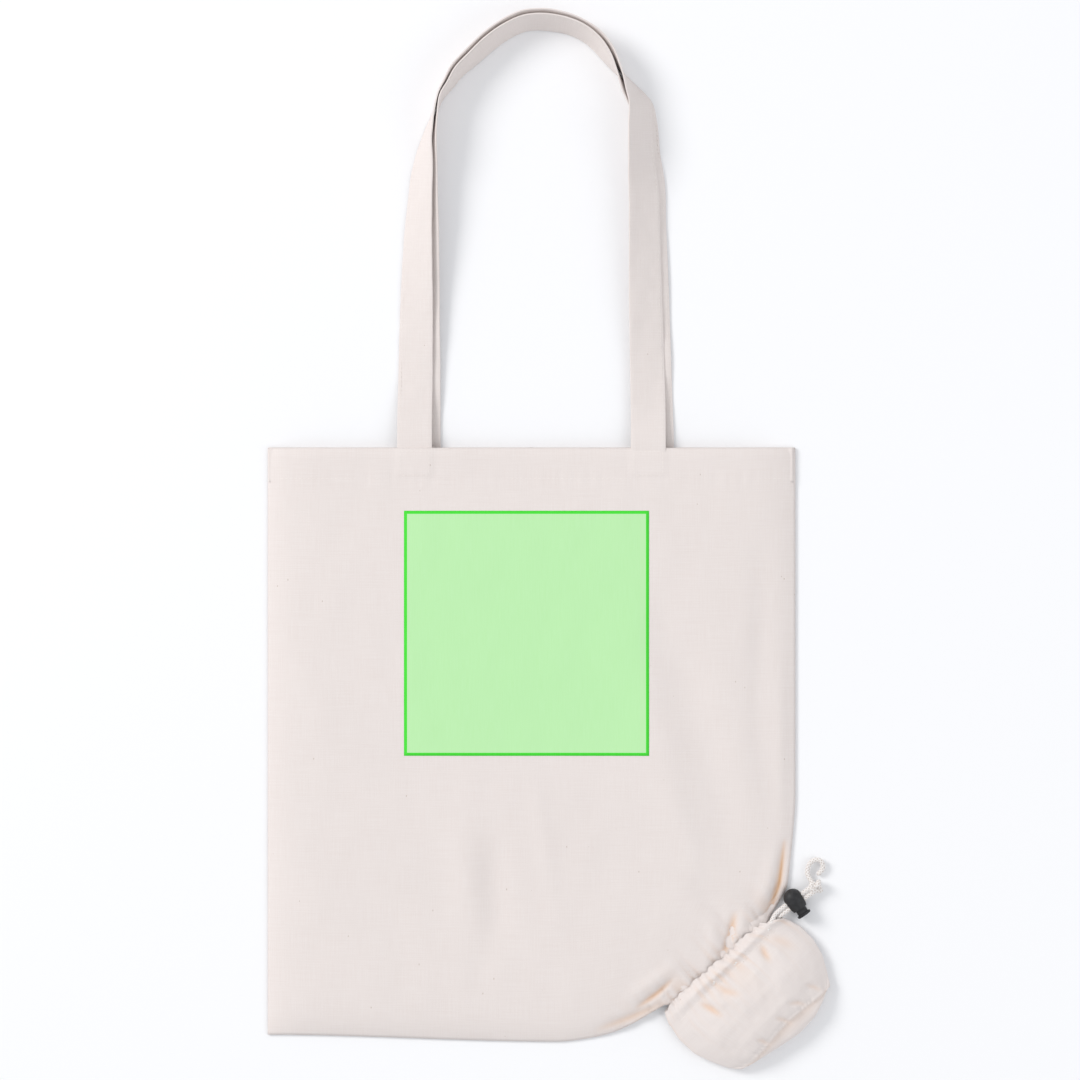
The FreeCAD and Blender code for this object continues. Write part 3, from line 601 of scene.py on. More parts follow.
# %% The three stretches of cord
hooked_end, hooked_line, hooked_length = braided_tube("hooked_cord_end", smooth_line(HOOKED_END))
short_end, short_line, short_length = braided_tube("short_cord_end", smooth_line(SHORT_END))
channel_cord, _, channel_length = braided_tube("cord_in_channel", smooth_line(IN_CHANNEL))
print("cord lengths, mm:", round(hooked_length / MM, 1), round(short_length / MM, 1),
      round(channel_length / MM, 1))

# %% [markdown]
# ## The knot
# Both ends are tied together in one overhand knot. Seen closely it is a short piece of the
# same braid that winds round itself, so it is made as a closed three-lobed loop of cord,
# pulled tight enough that its turns touch.

# %% Tie the knot
KNOT_SPREAD = 1.28
KNOT_RISE = 1.75
KNOT_TILT = math.radians(52)


def overhand_knot(name, centre):
    """A closed loop of cord with three lobes, tilted and turned to lie along the cord."""
    turn = np.linspace(0, 2 * math.pi, 220, endpoint=False)
    loop = np.stack([np.sin(turn) + 2 * np.sin(2 * turn), np.cos(turn) - 2 * np.cos(2 * turn),
                     -np.sin(3 * turn) * KNOT_RISE / KNOT_SPREAD], axis=1) * KNOT_SPREAD * MM
    turned = loop @ np.array(Matrix.Rotation(KNOT_TILT, 3, "X").transposed())
    turned = turned @ np.array(Matrix.Rotation(CORD_ANGLE, 3, "Z").transposed())
    return braided_tube(name, turned + np.array(centre) * MM, closed=True)


knot, _, knot_length = overhand_knot("cord_knot", lock_point(18.4, -0.6, 5.4))
print("cord in the knot, mm:", round(knot_length / MM, 1))
for piece, node in ((hooked_end, "drawcord_hooked_end"), (short_end, "drawcord_short_end"),
                    (channel_cord, "drawcord_in_channel"), (knot, "drawcord_knot")):
    dress(piece, "pouch", "drawcord", cord_material)
    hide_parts(node)

# %% [markdown]
# ## The two panels of the tote
# Each panel is a flat cut of cloth, so each starts as a flat grid with its own flat
# coordinates kept for the weave. The grid's points are then carried to where that spot of
# cloth lies on the table. The bottom right corner is drawn into the pouch, which pulls the
# right and bottom edges in and leaves gathers. A simulation would put its folds anywhere, and
# this bag's few folds have known places, so they are shaped one by one, as a sculptor would.

# %% Make a flat cut of cloth
def corner_points(piece):
    """The number of the point at each corner of each face."""
    corners = np.empty(len(piece.data.loops), int)
    piece.data.loops.foreach_get("vertex_index", corners)
    return corners


def cut_cloth(name, columns, rows, x_range, y_range):
    """A flat grid in millimetre places, with its flat coordinates kept as the UV map in metres."""
    deselect_all()
    width = x_range[1] - x_range[0]
    depth = y_range[1] - y_range[0]
    bpy.ops.mesh.primitive_grid_add(x_subdivisions=columns, y_subdivisions=rows, size=1, calc_uvs=True)
    piece = bpy.context.active_object
    piece.scale = (width * MM, depth * MM, 1)
    piece.location = ((x_range[0] + width / 2) * MM, (y_range[0] + depth / 2) * MM, 0)
    finish_new(name)
    flat = read_points(piece)
    piece.data.uv_layers.active.data.foreach_set("uv", flat[corner_points(piece), :2].ravel())
    return piece, flat[:, 0] / MM, flat[:, 1] / MM


def carry(piece, x, y, z):
    """Carry every point of a piece to a new place in millimetres."""
    write_points(piece, np.stack([x, y, z], axis=1) * MM)


# %% How the outline is drawn in at the pouch
def bottom_edge(x):
    """Height of the bottom edge: it bows down a little, then rises into the pouch."""
    bow = 5.0 * step_between(x, -HALF_WIDTH, 20)
    rise = 20.0 * (np.clip(x - 20, 0, 110) / 90) ** 1.45
    return 1.0 - HALF_HEIGHT - bow + rise


def right_edge(y):
    """Place of the right edge: straight, then drawn in towards the pouch."""
    past = np.clip(-40 - y, 0, None)
    turn = step_between(-y, 100, 126)
    return HALF_WIDTH - (1 - turn) * 6.0 * (past / 66) ** 1.35 - turn * 18.0 * (past / 85) ** 1.9


def on_table(a, b):
    """Where a point of the flat cloth lies, seen from above."""
    y = b + (bottom_edge(a) + HALF_HEIGHT) * step_between(-b, 90, HALF_HEIGHT)
    x = a - (HALF_WIDTH - right_edge(y)) * step_between(a, 40, HALF_WIDTH)
    return x, y


def pouch_axes(x, y):
    """A point's place along the pouch's mouth and into the pouch."""
    along = (x - MOUTH[0]) * ALONG[0] + (y - MOUTH[1]) * ALONG[1]
    into = (x - MOUTH[0]) * INTO[0] + (y - MOUTH[1]) * INTO[1]
    return along, into


# %% Shapes that a hand would sculpt
def fold(x, y, points, width):
    """1 along a bent line, falling to 0 at its sides and at both ends."""
    best = np.zeros_like(x)
    lengths = [math.dist(first, second) for first, second in zip(points, points[1:])]
    passed = 0.0
    for first, second, length in zip(points, points[1:], lengths):
        direction = ((second[0] - first[0]) / length, (second[1] - first[1]) / length)
        reach = (x - first[0]) * direction[0] + (y - first[1]) * direction[1]
        near = np.clip(reach, 0, length)
        away = np.hypot(x - first[0] - near * direction[0], y - first[1] - near * direction[1])
        share = np.clip((passed + near) / sum(lengths), 0, 1)
        best = np.maximum(best, np.exp(-(away / width) ** 2) * np.sin(math.pi * (0.08 + 0.84 * share)))
        passed += length
    return best


def gentle_waves(x, y, seed, count, shortest, longest):
    """Slow uneven rises of about one, from a few crossing waves."""
    draw = np.random.default_rng(seed)
    height = np.zeros_like(x)
    for _ in range(count):
        length = draw.uniform(shortest, longest)
        heading = draw.uniform(0, math.pi)
        phase = draw.uniform(0, 2 * math.pi)
        height += np.sin(2 * math.pi * (x * math.cos(heading) + y * math.sin(heading)) / length + phase)
    return height / math.sqrt(count)


def uneven_gathers(along, pitch, seed):
    """Gathers of uneven width across a drawn-in edge, from -1 to 1."""
    draw = np.random.default_rng(seed)
    wander = 0.0
    for _ in range(3):
        depth, length, phase = draw.uniform(0.5, 1.2), draw.uniform(17, 44), draw.uniform(0, 6)
        wander = wander + depth * np.sin(2 * math.pi * along / length + phase)
    return np.sin(2 * math.pi * along / pitch + 1.5 * wander)


# %% The lie of the front panel
SIDE_HEIGHT = 1.5
LOWEST_FRONT = 1.2
PANEL_RISE = FRONT_TOP - 2.6
# Each fold: the line it follows, its half width, how far it rises, and how much warm shade is painted into
# its colour.
FOLDS = [
    ([(182, -72), (178.5, -100), (169, -129)], 2.0, -4.2, 0.95),
    ([(176, -74), (171, -100), (160, -131)], 5.5, 2.6, 0.0),
    ([(187, -80), (184, -100), (175, -124)], 3.5, 2.2, 0.0),
    ([(112, -100), (131, -116), (146, -137)], 8.0, -2.4, 0.0),
    ([(146, -124), (143, -140), (137, -155)], 2.6, -3.6, 0.75),
    ([(154, -118), (151, -134), (146, -150)], 5.0, 2.2, 0.0),
    ([(130, -126), (131, -142), (128, -158)], 5.0, 1.8, 0.0),
    ([(76, -191), (90, -181), (101, -171)], 2.2, -2.6, 0.6),
    ([(70, -184), (88, -172), (104, -160)], 5.0, 2.0, 0.0),
    ([(48, -207), (72, -198), (97, -187)], 3.0, -2.2, 0.35),
    ([(92, 100), (120, 8), (147, -85)], 17.0, -2.6, 0.0),
    ([(66, 92), (90, 0), (112, -80)], 20.0, 1.6, 0.0),
    ([(168, 150), (163, 20), (171, -60)], 9.0, -2.0, 0.0),
    ([(180, 60), (180, -20), (181, -66)], 4.5, 1.4, 0.0),
    ([(-1, -13), (9, -70), (17, -129)], 7.0, 0.7, 0.0),
    ([(-55, -50), (-44, -110), (-30, -160)], 13.0, 2.2, 0.0),
    ([(-30, -66), (-26, -120), (-38, -175)], 12.0, -1.9, 0.0),
    ([(-178, -92), (-140, -140), (-95, -186)], 16.0, 1.5, 0.0),
    ([(-160, -60), (-112, -118), (-64, -182)], 16.0, -1.2, 0.0),
    ([(-176, 60), (-150, 20), (-112, -10)], 14.0, 1.0, 0.0),
    ([(98, -28), (112, -66), (118, -104)], 9.0, 1.0, 0.0),
]
LOCK_SLIDE = 3.2
LOCK_RADIUS = 6.7
LOCK_REACH = 8.6
LOCK_ROOM = 0.55


def edge_rise(x, y):
    """0 on the sewn edges and 1 well inside them."""
    left = 1 - np.exp(-np.clip(x + HALF_WIDTH, 0, None) / 13.0)
    right = 1 - np.exp(-np.clip(right_edge(y) - x, 0, None) / 19.0)
    below = 1 - np.exp(-np.clip(y - bottom_edge(x), 0, None) / 11.0)
    return left * right * below


def under_the_lock(x, y):
    """How high cloth may lie under the cord lock, wherever the lock slides to along its cord."""
    dx, dy = x - LOCK_PLACE[0], y - LOCK_PLACE[1]
    along = dx * math.cos(CORD_ANGLE) + dy * math.sin(CORD_ANGLE)
    across = dx * math.sin(CORD_ANGLE) - dy * math.cos(CORD_ANGLE)
    away = np.maximum(np.maximum(-LOCK_SLIDE - along, along), 0)
    radius = LOCK_RADIUS * np.sqrt(np.clip(1 - (across / LOCK_REACH) ** 2, 0, 1))
    drop = np.sqrt(np.clip(radius ** 2 - away ** 2, 0, None))
    return np.where(drop > 0, LOCK_RADIUS - drop - LOCK_ROOM, FRONT_TOP * 2)


def panel_height(x, y):
    """Height of the front panel's outer side over the table."""
    along, into = pouch_axes(x, y)
    rise = edge_rise(x, y)
    height = SIDE_HEIGHT + PANEL_RISE * rise
    height += 0.42 * rise * gentle_waves(x, y, 3, 9, 60, 150)
    height += 0.10 * rise * gentle_waves(x, y, 5, 12, 17, 42)
    for line, width, lift, _ in FOLDS:
        height += lift * fold(x, y, line, width) * (0.25 + 0.75 * rise)
    close = np.exp(np.clip(into, None, 0) / 13.0) * (0.3 + 0.7 * rise)
    height += 1.5 * close * uneven_gathers(along, 9.5, 11)
    height += 0.7 * np.exp(np.clip(into, None, 0) / 7.0) * uneven_gathers(along, 5.2, 12)
    by_row = np.exp(-((y - HEM_ROW) / 1.1) ** 2)
    height -= 0.32 * rise * by_row * (0.65 + 0.35 * np.cos(2 * math.pi * x / 3.2))
    height += 0.13 * rise * np.exp(-((y - HEM_ROW) / 7.0) ** 2) * uneven_gathers(x, 8.5, 14)
    for middle in (-HANDLE_HALF_SPACING, HANDLE_HALF_SPACING):
        beside = STRAP_WIDTH / 2 - abs(x - middle)
        height += 0.45 * step_between(beside, -2, 1) * step_between(y, HALF_HEIGHT - TAB - 2.5,
                                                                    HALF_HEIGHT - TAB + 0.5)
    top = 0.8 * step_between(y, HALF_HEIGHT - 7, HALF_HEIGHT)
    return np.maximum(np.minimum(height - top, under_the_lock(x, y)), LOWEST_FRONT)


def panel_painted_shade(x, y):
    """How much warm shade is painted into the colour, in the deep creases and along the drawn-in edges."""
    along, into = pouch_axes(x, y)
    painted_shade = np.zeros_like(x)
    # Warm shade is painted along the folds marked warm and in the gather valleys by the pouch.
    for line, width, _, shade_weight in FOLDS:
        if shade_weight:
            painted_shade = np.maximum(painted_shade, shade_weight * fold(x, y, line, width * 0.8))
    close = np.exp(np.clip(into, None, 0) / 9.0)
    painted_shade = np.maximum(painted_shade, 0.35 * close * np.clip(-uneven_gathers(along, 9.5, 11), 0, 1))
    return np.clip(painted_shade, 0, 1)


# %% Cut and lay the front panel
CLOTH_THICKNESS = 0.5
GRID_STEP = 2.05
FOLD_RADIUS = 0.7
HEM_ALLOWANCE = HEM_DEPTH + 2.0
HEM_SIDE_ROOM = 1.2
PANEL_MARGIN = 5.0


def over_the_hem(b):
    """Follow the cloth over the folded top edge and down inside: where it is, and its drop."""
    past = b - (HALF_HEIGHT - FOLD_RADIUS)
    bend = np.clip(past / FOLD_RADIUS, 0, math.pi)
    down = np.clip(past - math.pi * FOLD_RADIUS, 0, None)
    y = np.where(past > 0, HALF_HEIGHT - FOLD_RADIUS + FOLD_RADIUS * np.sin(bend) - down, b)
    drop = FOLD_RADIUS * (1 - np.cos(bend))
    return y, drop


def keep_painted_shade(piece, values):
    """Store how much warm shade is painted into the colour at each point, for the cotton to read."""
    painted_crease_shade = piece.data.attributes.new("painted_crease_shade", "FLOAT", "POINT")
    painted_crease_shade.data.foreach_set("value", np.asarray(values, np.float32))


def trim_past(piece, distance):
    """Cut away the cloth that lies deeper in the pouch than a distance past its mouth."""
    make_active(piece)
    bpy.ops.object.mode_set(mode="EDIT")
    bpy.ops.mesh.select_all(action="SELECT")
    x, y = pouch_plan(0, distance)
    bpy.ops.mesh.bisect(plane_co=(x * MM, y * MM, 0), plane_no=(*INTO, 0), clear_outer=True)
    bpy.ops.object.mode_set(mode="OBJECT")


def make_panel(name, lie, hem_side):
    """Cut a panel with its hem allowance, lay it, and trim it at the pouch's mouth."""
    rows = int((2 * HALF_HEIGHT + HEM_ALLOWANCE) / GRID_STEP)
    columns = int(2 * HALF_WIDTH / GRID_STEP)
    piece, a, b = cut_cloth(name, columns, rows, (-HALF_WIDTH, HALF_WIDTH),
                            (-HALF_HEIGHT, HALF_HEIGHT + HEM_ALLOWANCE))
    up_to, drop = over_the_hem(b)
    x, y = on_table(a, up_to)
    x = x - np.sign(x) * HEM_SIDE_ROOM * step_between(b, HALF_HEIGHT, HALF_HEIGHT + 1.5)
    carry(piece, x, y, lie(x, y) - hem_side * drop)
    trim_past(piece, PANEL_MARGIN)
    return piece


def thicken_cloth(piece, painted_shade):
    """Store the painted warm shade, and give the cloth its thickness, inwards from the side that was laid."""
    points = read_points(piece) / MM
    keep_painted_shade(piece, painted_shade(points[:, 0], points[:, 1]))
    add_modifier(piece, "SOLIDIFY", thickness=CLOTH_THICKNESS * MM, offset=-1, use_even_offset=False)
    shade_smooth(piece)


front_panel = make_panel("tote_front", panel_height, 1)
thicken_cloth(front_panel, panel_painted_shade)
print("front panel:", len(front_panel.data.polygons), "faces")

# %% Lay the back panel
BACK_HEIGHT = 0.55


def back_lie(x, y):
    """Flat on the table, but lifted at the pouch, where the drawcord runs under it."""
    along, into = pouch_axes(x, y)
    lifted = 4.6 * step_between(into, -42, 2) * step_between(-abs(along), -62, -38)
    edge = 0.5 * (1 - edge_rise(x, y))
    gathers = 0.8 * np.exp(np.clip(into, None, 0) / 10.0) * (1 + uneven_gathers(along, 8.0, 21))
    return BACK_HEIGHT + lifted + edge + gathers + 0.06 * gentle_waves(x, y, 8, 8, 50, 120)


back_panel = make_panel("tote_back", back_lie, -1)
thicken_cloth(back_panel, lambda x, y: 0 * x)
print("back panel:", len(back_panel.data.polygons), "faces")

# %% [markdown]
# The front panel has to lift with the mouth and still stay sewn at its sides. The blend that
# would bend it between the two bodies is not made here: its points are only put in place.
# Each panel is trimmed a little past the pouch's mouth, so it leaves out the cloth that runs
# on into the pouch.


def bend_with_mouth(piece):
    """Put a piece's placing into its mesh and read its points; no blend between the bodies is made."""
    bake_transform(piece)
    place = read_points(piece) / MM


dress(front_panel, None, "cotton_cloth", cloth_material)
dress(back_panel, "tote_back", "cotton_cloth", cloth_material)
bend_with_mouth(front_panel)
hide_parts("front_panel", "front_hem")
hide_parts("back_panel", "back_hem")

# %% [markdown]
# ## The printed square
# The print is a thin film of ink on the cloth, so it is a sheet of its own that follows the
# panel's height. Its border is the outermost ring of faces, given a second ink.

# %% Print the square
print_low, print_high = box_mm("printed_square")
BORDER = 2.2
INK_LIFT = 0.13
INK_THICKNESS = 0.08
cells = int(round((print_high[0] - print_low[0]) / BORDER))
printed, x, y = cut_cloth("printed_square_ink", cells, cells, (print_low[0], print_high[0]),
                          (print_low[1], print_high[1]))
carry(printed, x, y, panel_height(x, y) + INK_LIFT)
keep_painted_shade(printed, 0 * x)
dress(printed, None, "print_ink", print_fill, print_border)
for face in printed.data.polygons:
    middle_x, middle_y = face.center.x / MM, face.center.y / MM
    inside = min(middle_x - print_low[0], print_high[0] - middle_x, middle_y - print_low[1],
                 print_high[1] - middle_y)
    face.material_index = 1 if inside < BORDER else 0
add_modifier(printed, "SOLIDIFY", thickness=INK_THICKNESS * MM, offset=-1)
shade_smooth(printed)
bend_with_mouth(printed)
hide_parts("printed_square")

# %% [markdown]
# ## The straps
# Each handle is one long strip of doubled cloth, sewn inside the hem at both ends. The legs
# lie almost flat, the front strap on the back one, and towards the arch the strip turns up
# and stands on its edge, leaning outwards. A strip cannot be bent like that with a few
# operators, so it is a flat cut of cloth that is carried along a line of stations. Each
# station says how far in from its own sewn end it lies, how far above the hem, and how much
# the strip has rolled.

# %% The course of each leg
STRAP_THICKNESS = 1.15
BACK_SHIFT = 6.0
HANDLE_START = HALF_HEIGHT + 1.4
LEG_LAYER_GAP = 0.15
STANDING_ROLL = 75
FRONT_STRAP_HEIGHT = 0.3
BACK_STRAP_HEIGHT = 0.2
FRONT_LEFT_LEG = [(0, 0, 0), (0, 20, 2), (0.5, 48, 8), (1.5, 106, 22), (3.8, 174, 45), (6, 201, 55),
                  (8.4, 218, 70), (13.4, 237, 85), (17.5, 251, 93), (22.5, 259.5, 98), (29.5, 269.8, 103),
                  (39, 279, 107), (52.3, 291.4, 110), (66.5, 301, 111), (78, 305.8, 111), (88.7, 307.1, 111)]
FRONT_RIGHT_LEG = [(0, 0, 0), (0, 20, 2), (0.5, 48, 7), (2, 106, 17), (3, 158, 26), (3.5, 185, 30),
                   (5.1, 207, 41), (6.2, 231.5, 48), (6.5, 245, 51), (12, 256, 68), (20.7, 270.5, 92),
                   (28.2, 282, 104), (35, 290.5, 108), (44.8, 298.4, 110), (56, 303.6, 110),
                   (68.5, 306.4, 111)]
BACK_LEFT_LEG = [(0, 0, 0), (0, 20, 1), (0, 48, 5), (0, 106, 16), (1.4, 174, 40), (2.3, 201, 50),
                 (5, 218, 66), (9.6, 237, 84), (14, 251, 95), (19.1, 257.6, 99), (25.8, 267.4, 104),
                 (35, 276.4, 107), (48, 288.5, 110), (62, 297.9, 111), (72.6, 302.5, 111), (82.7, 303.8, 111)]
BACK_RIGHT_LEG = [(0, 0, 0), (0.5, 20, 1), (1.5, 48, 4), (3.1, 106, 14), (4.7, 158, 22), (5, 185, 27),
                  (7, 207, 37), (8.6, 231.5, 44), (11.5, 243.5, 47), (20.2, 254.5, 66), (29.6, 268.9, 91),
                  (37, 280.2, 104), (43.4, 288.1, 108), (52.7, 295.7, 110), (63.4, 300.6, 110),
                  (75.1, 303.1, 111)]


def both_legs(left_leg, right_leg, shift):
    """Stations (x, y, roll) from the left sewn end, over the arch, to the right one."""
    left = [(shift - HANDLE_HALF_SPACING + inward, HANDLE_START + rise, roll)
            for inward, rise, roll in left_leg]
    right = [(shift + HANDLE_HALF_SPACING - inward, HANDLE_START + rise, roll)
             for inward, rise, roll in right_leg]
    return left + right[::-1]


def height_over(front, back):
    """Height of the front strap's lower edge where it lies across the back strap."""
    x, _, roll = front
    back_x, _, back_roll = back
    if roll > STANDING_ROLL:
        return FRONT_STRAP_HEIGHT
    outward = math.copysign(1, x) * (x - back_x)
    turn, back_turn = math.radians(roll), math.radians(back_roll)
    half = STRAP_WIDTH / 2 * math.cos(turn)
    back_half = STRAP_WIDTH / 2 * math.cos(back_turn)
    layers = STRAP_THICKNESS / 2 * (1 / math.cos(turn) + 1 / math.cos(back_turn)) + LEG_LAYER_GAP
    heights = [FRONT_STRAP_HEIGHT]
    for place in (min(outward + half, back_half), max(outward - half, -back_half)):
        back_height = BACK_STRAP_HEIGHT + (back_half - place) * math.tan(back_turn)
        heights.append(back_height + layers - (outward + half - place) * math.tan(turn))
    return max(heights)


# %% Carry a flat strip along its course
STRAP_ROWS = 260
STRAP_COLUMNS = 8
STRAP_EDGE_ROUND = 0.36
STEEPEST_ROLL = 112


def smooth_course(stations, count):
    """Even points along a smooth line through the stations, as x, y, height and roll."""
    stations = np.array(stations, float)
    spans = np.linalg.norm(np.diff(stations[:, :2], axis=0), axis=1) + 1e-6
    knots = np.concatenate([[0], np.cumsum(spans)])
    slopes = np.gradient(stations, knots, axis=0)
    places = np.linspace(0, knots[-1], count)
    index = np.clip(np.searchsorted(knots, places, side="right") - 1, 0, len(spans) - 1)
    share = ((places - knots[index]) / spans[index])[:, None]
    width = spans[index][:, None]
    first, second = stations[index], stations[index + 1]
    return ((2 * share ** 3 - 3 * share ** 2 + 1) * first + (share ** 3 - 2 * share ** 2 + share) * width
            * slopes[index] + (3 * share ** 2 - 2 * share ** 3) * second
            + (share ** 3 - share ** 2) * width * slopes[index + 1])


class Course:
    """The line that a strap follows, with the strip's own directions at every point of it."""

    def __init__(self, line, heights, middle_x, tab_height):
        stations = [(x, y, height, roll) for (x, y, roll), height in zip(line, heights)]
        left, right = stations[0], stations[-1]
        start = [(left[0], left[1] - TAB - 2, tab_height, 0), (left[0], left[1] - 9, tab_height, 0)]
        end = [(right[0], right[1] - 9, tab_height, 0), (right[0], right[1] - TAB - 2, tab_height, 0)]
        course = smooth_course(start + stations + end, 900)
        roll = np.radians(np.clip(course[:, 3], 0, STEEPEST_ROLL))
        rise = np.sin(roll) * STRAP_WIDTH / 2 + np.abs(np.cos(roll)) * STRAP_THICKNESS / 2
        centre = np.stack([course[:, 0], course[:, 1], course[:, 2] + rise], axis=1)
        tangent = np.gradient(centre, axis=0)
        tangent[:, 2] = 0
        tangent /= np.linalg.norm(tangent, axis=1)[:, None]
        across = np.stack([-tangent[:, 1], tangent[:, 0], np.zeros(len(tangent))], axis=1)
        inward = np.array([middle_x, HALF_HEIGHT + 200.0, 0]) - centre
        across *= np.sign((across * inward).sum(axis=1))[:, None]
        up = np.array([0.0, 0.0, 1.0])
        self.centre = centre
        self.wide = across * np.cos(roll)[:, None] + up * np.sin(roll)[:, None]
        self.outer = up * np.cos(roll)[:, None] - across * np.sin(roll)[:, None]
        steps = np.linalg.norm(np.diff(centre, axis=0), axis=1)
        self.lengths = np.concatenate([[0], np.cumsum(steps)])
        self.length = self.lengths[-1]

    def at(self, along, across, lift):
        """Points a distance along the strap, across it, and off its middle surface."""
        def read(values):
            return np.stack([np.interp(along, self.lengths, values[:, axis]) for axis in range(3)], axis=1)
        return (read(self.centre) + read(self.wide) * np.asarray(across)[:, None]
                + read(self.outer) * np.asarray(lift)[:, None])


def make_strap(name, course, seed):
    """A strip of doubled cloth with soft edges and a slight waviness."""
    piece, along, across = cut_cloth(name, STRAP_ROWS, STRAP_COLUMNS, (0, course.length),
                                     (-STRAP_WIDTH / 2, STRAP_WIDTH / 2))
    edge = np.abs(across) / (STRAP_WIDTH / 2)
    waves = 0.16 * gentle_waves(along, across * 2, seed, 7, 14, 60)
    ripple = 0.22 * (edge ** 2) * gentle_waves(along, 0 * across, seed + 1, 6, 18, 55)
    lift = (waves + ripple) * step_between(np.minimum(along, course.length - along), 24, 60)
    write_points(piece, course.at(along, across, lift) * MM)
    face_outward(piece)
    # The strip is laid crosswise, so its own UV map is turned to keep the long yarns lengthwise.
    uv = piece.data.uv_layers.active.data
    values = np.empty(len(uv) * 2)
    uv.foreach_get("uv", values)
    values = values.reshape(-1, 2)[:, ::-1].copy()
    uv.foreach_set("uv", values.ravel())
    keep_painted_shade(piece, 0 * along)
    add_modifier(piece, "SOLIDIFY", thickness=STRAP_THICKNESS * MM, offset=0, use_even_offset=True)
    add_modifier(piece, "BEVEL", width=STRAP_EDGE_ROUND * MM, segments=2, limit_method="ANGLE",
                 angle_limit=math.radians(50))
    shade_smooth(piece)
    return piece


front_line = both_legs(FRONT_LEFT_LEG, FRONT_RIGHT_LEG, 0)
back_line = both_legs(BACK_LEFT_LEG, BACK_RIGHT_LEG, BACK_SHIFT)
front_heights = [height_over(front, back) for front, back in zip(front_line, back_line)]
leave = float(panel_height(np.array([HANDLE_HALF_SPACING]), np.array([HALF_HEIGHT - 8.0]))[0])
FRONT_TAB_HEIGHT = leave - CLOTH_THICKNESS - STRAP_THICKNESS - 0.15
BACK_TAB_HEIGHT = BACK_HEIGHT + 0.1
front_heights[0] = front_heights[-1] = FRONT_TAB_HEIGHT
front_heights[1] = front_heights[-2] = (FRONT_TAB_HEIGHT + front_heights[2]) / 2
back_heights = [BACK_STRAP_HEIGHT] * len(back_line)
back_heights[0] = back_heights[-1] = BACK_TAB_HEIGHT
front_course = Course(front_line, front_heights, 0.0, FRONT_TAB_HEIGHT)
back_course = Course(back_line, back_heights, BACK_SHIFT, BACK_TAB_HEIGHT)
front_strap = make_strap("front_strap_cloth", front_course, 31)
back_strap = make_strap("back_strap_cloth", back_course, 41)
print("strap lengths with their sewn ends, mm:", round(front_course.length), round(back_course.length))


def bend_at_hem(piece):
    """Put a piece's placing into its mesh; it is not bent at the hem."""
    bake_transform(piece)


dress(front_strap, None, "cotton_strap", strap_material)
dress(back_strap, None, "cotton_strap", strap_material)
bend_at_hem(front_strap)
bend_at_hem(back_strap)
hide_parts("front_handle", "front_handle_ends")
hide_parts("back_handle", "back_handle_ends")

# %% [markdown]
# ## Stitches
# Every seam that shows is a row of separate stitches. One stitch is a small bead of thread,
# modelled once with few faces, and copied along the row between pairs of points.

# %% One stitch, and a row of copies
STITCH_LENGTH = 2.5
STITCH_GAP = 0.75
THREAD_SIZE = 0.42

deselect_all()
bpy.ops.mesh.primitive_uv_sphere_add(segments=6, ring_count=6, radius=0.5)
stitch_master = bpy.context.active_object
bpy.ops.object.mode_set(mode="EDIT")
bpy.ops.mesh.select_all(action="SELECT")
bpy.ops.transform.resize(value=(1.0, THREAD_SIZE, THREAD_SIZE))
bpy.ops.object.mode_set(mode="OBJECT")
bead = read_points(stitch_master)
bead[:, 0] = np.sign(bead[:, 0]) * np.abs(2 * bead[:, 0]) ** 0.7 / 2
bead_faces = [tuple(face.vertices) for face in stitch_master.data.polygons]
bpy.data.objects.remove(stitch_master)


def sew(name, starts, ends, normals, thickness):
    """Copies of the stitch from each start to its end, in millimetres, squeezed through the cloth."""
    starts, ends = np.asarray(starts, float), np.asarray(ends, float)
    along = ends - starts
    lengths = np.linalg.norm(along, axis=1)[:, None]
    along = along / lengths
    normals = np.asarray(normals, float)
    side = np.cross(normals, along)
    side /= np.linalg.norm(side, axis=1)[:, None]
    up = np.cross(along, side)
    places = ((starts + ends)[:, None, :] / 2 + bead[None, :, 0:1] * (along * lengths)[:, None, :]
              + bead[None, :, 1:2] * side[:, None, :]
              + bead[None, :, 2:3] * up[:, None, :] * (thickness / THREAD_SIZE))
    faces = []
    for index in range(len(starts)):
        first = index * len(bead)
        faces.extend([tuple(first + corner for corner in face) for face in bead_faces])
    piece = new_piece(name, places * MM, faces)
    shade_smooth(piece)
    return piece


def stitch_places(length, seed):
    """Where each stitch of a row starts and ends, a little uneven as a machine leaves them."""
    draw = np.random.default_rng(seed)
    count = int(length / (STITCH_LENGTH + STITCH_GAP))
    starts = np.arange(count) * (STITCH_LENGTH + STITCH_GAP) + STITCH_GAP / 2
    starts = starts + draw.normal(0, 0.05, count)
    return starts, starts + STITCH_LENGTH


# %% The hem's row and the boxes over the sewn ends
BOX_INSET = 2.2
ROW_TO_SIDE = 9.0


def rows_on_panel(runs, lie, seed):
    """Stitches along straight runs on a panel, laid on its surface."""
    starts, ends = [], []
    for (x1, y1), (x2, y2) in runs:
        length = math.dist((x1, y1), (x2, y2))
        first, last = stitch_places(length, seed)
        for near, far in zip(first, last):
            for share, target in ((near / length, starts), (far / length, ends)):
                target.append((x1 + (x2 - x1) * share, y1 + (y2 - y1) * share))
    points = []
    for places in (starts, ends):
        places = np.array(places)
        points.append(np.column_stack([places, lie(places[:, 0], places[:, 1])]))
    return points[0], points[1]


def box_runs(middle):
    """The four sides of the box of stitches over one sewn end."""
    half = STRAP_WIDTH / 2 - BOX_INSET
    left, right = middle - half, middle + half
    low, high = HEM_ROW + BOX_INSET, HALF_HEIGHT - 3.0
    return [((left, low), (left, high)), ((left, high), (right, high)), ((right, high), (right, low)),
            ((right, low), (left, low))]


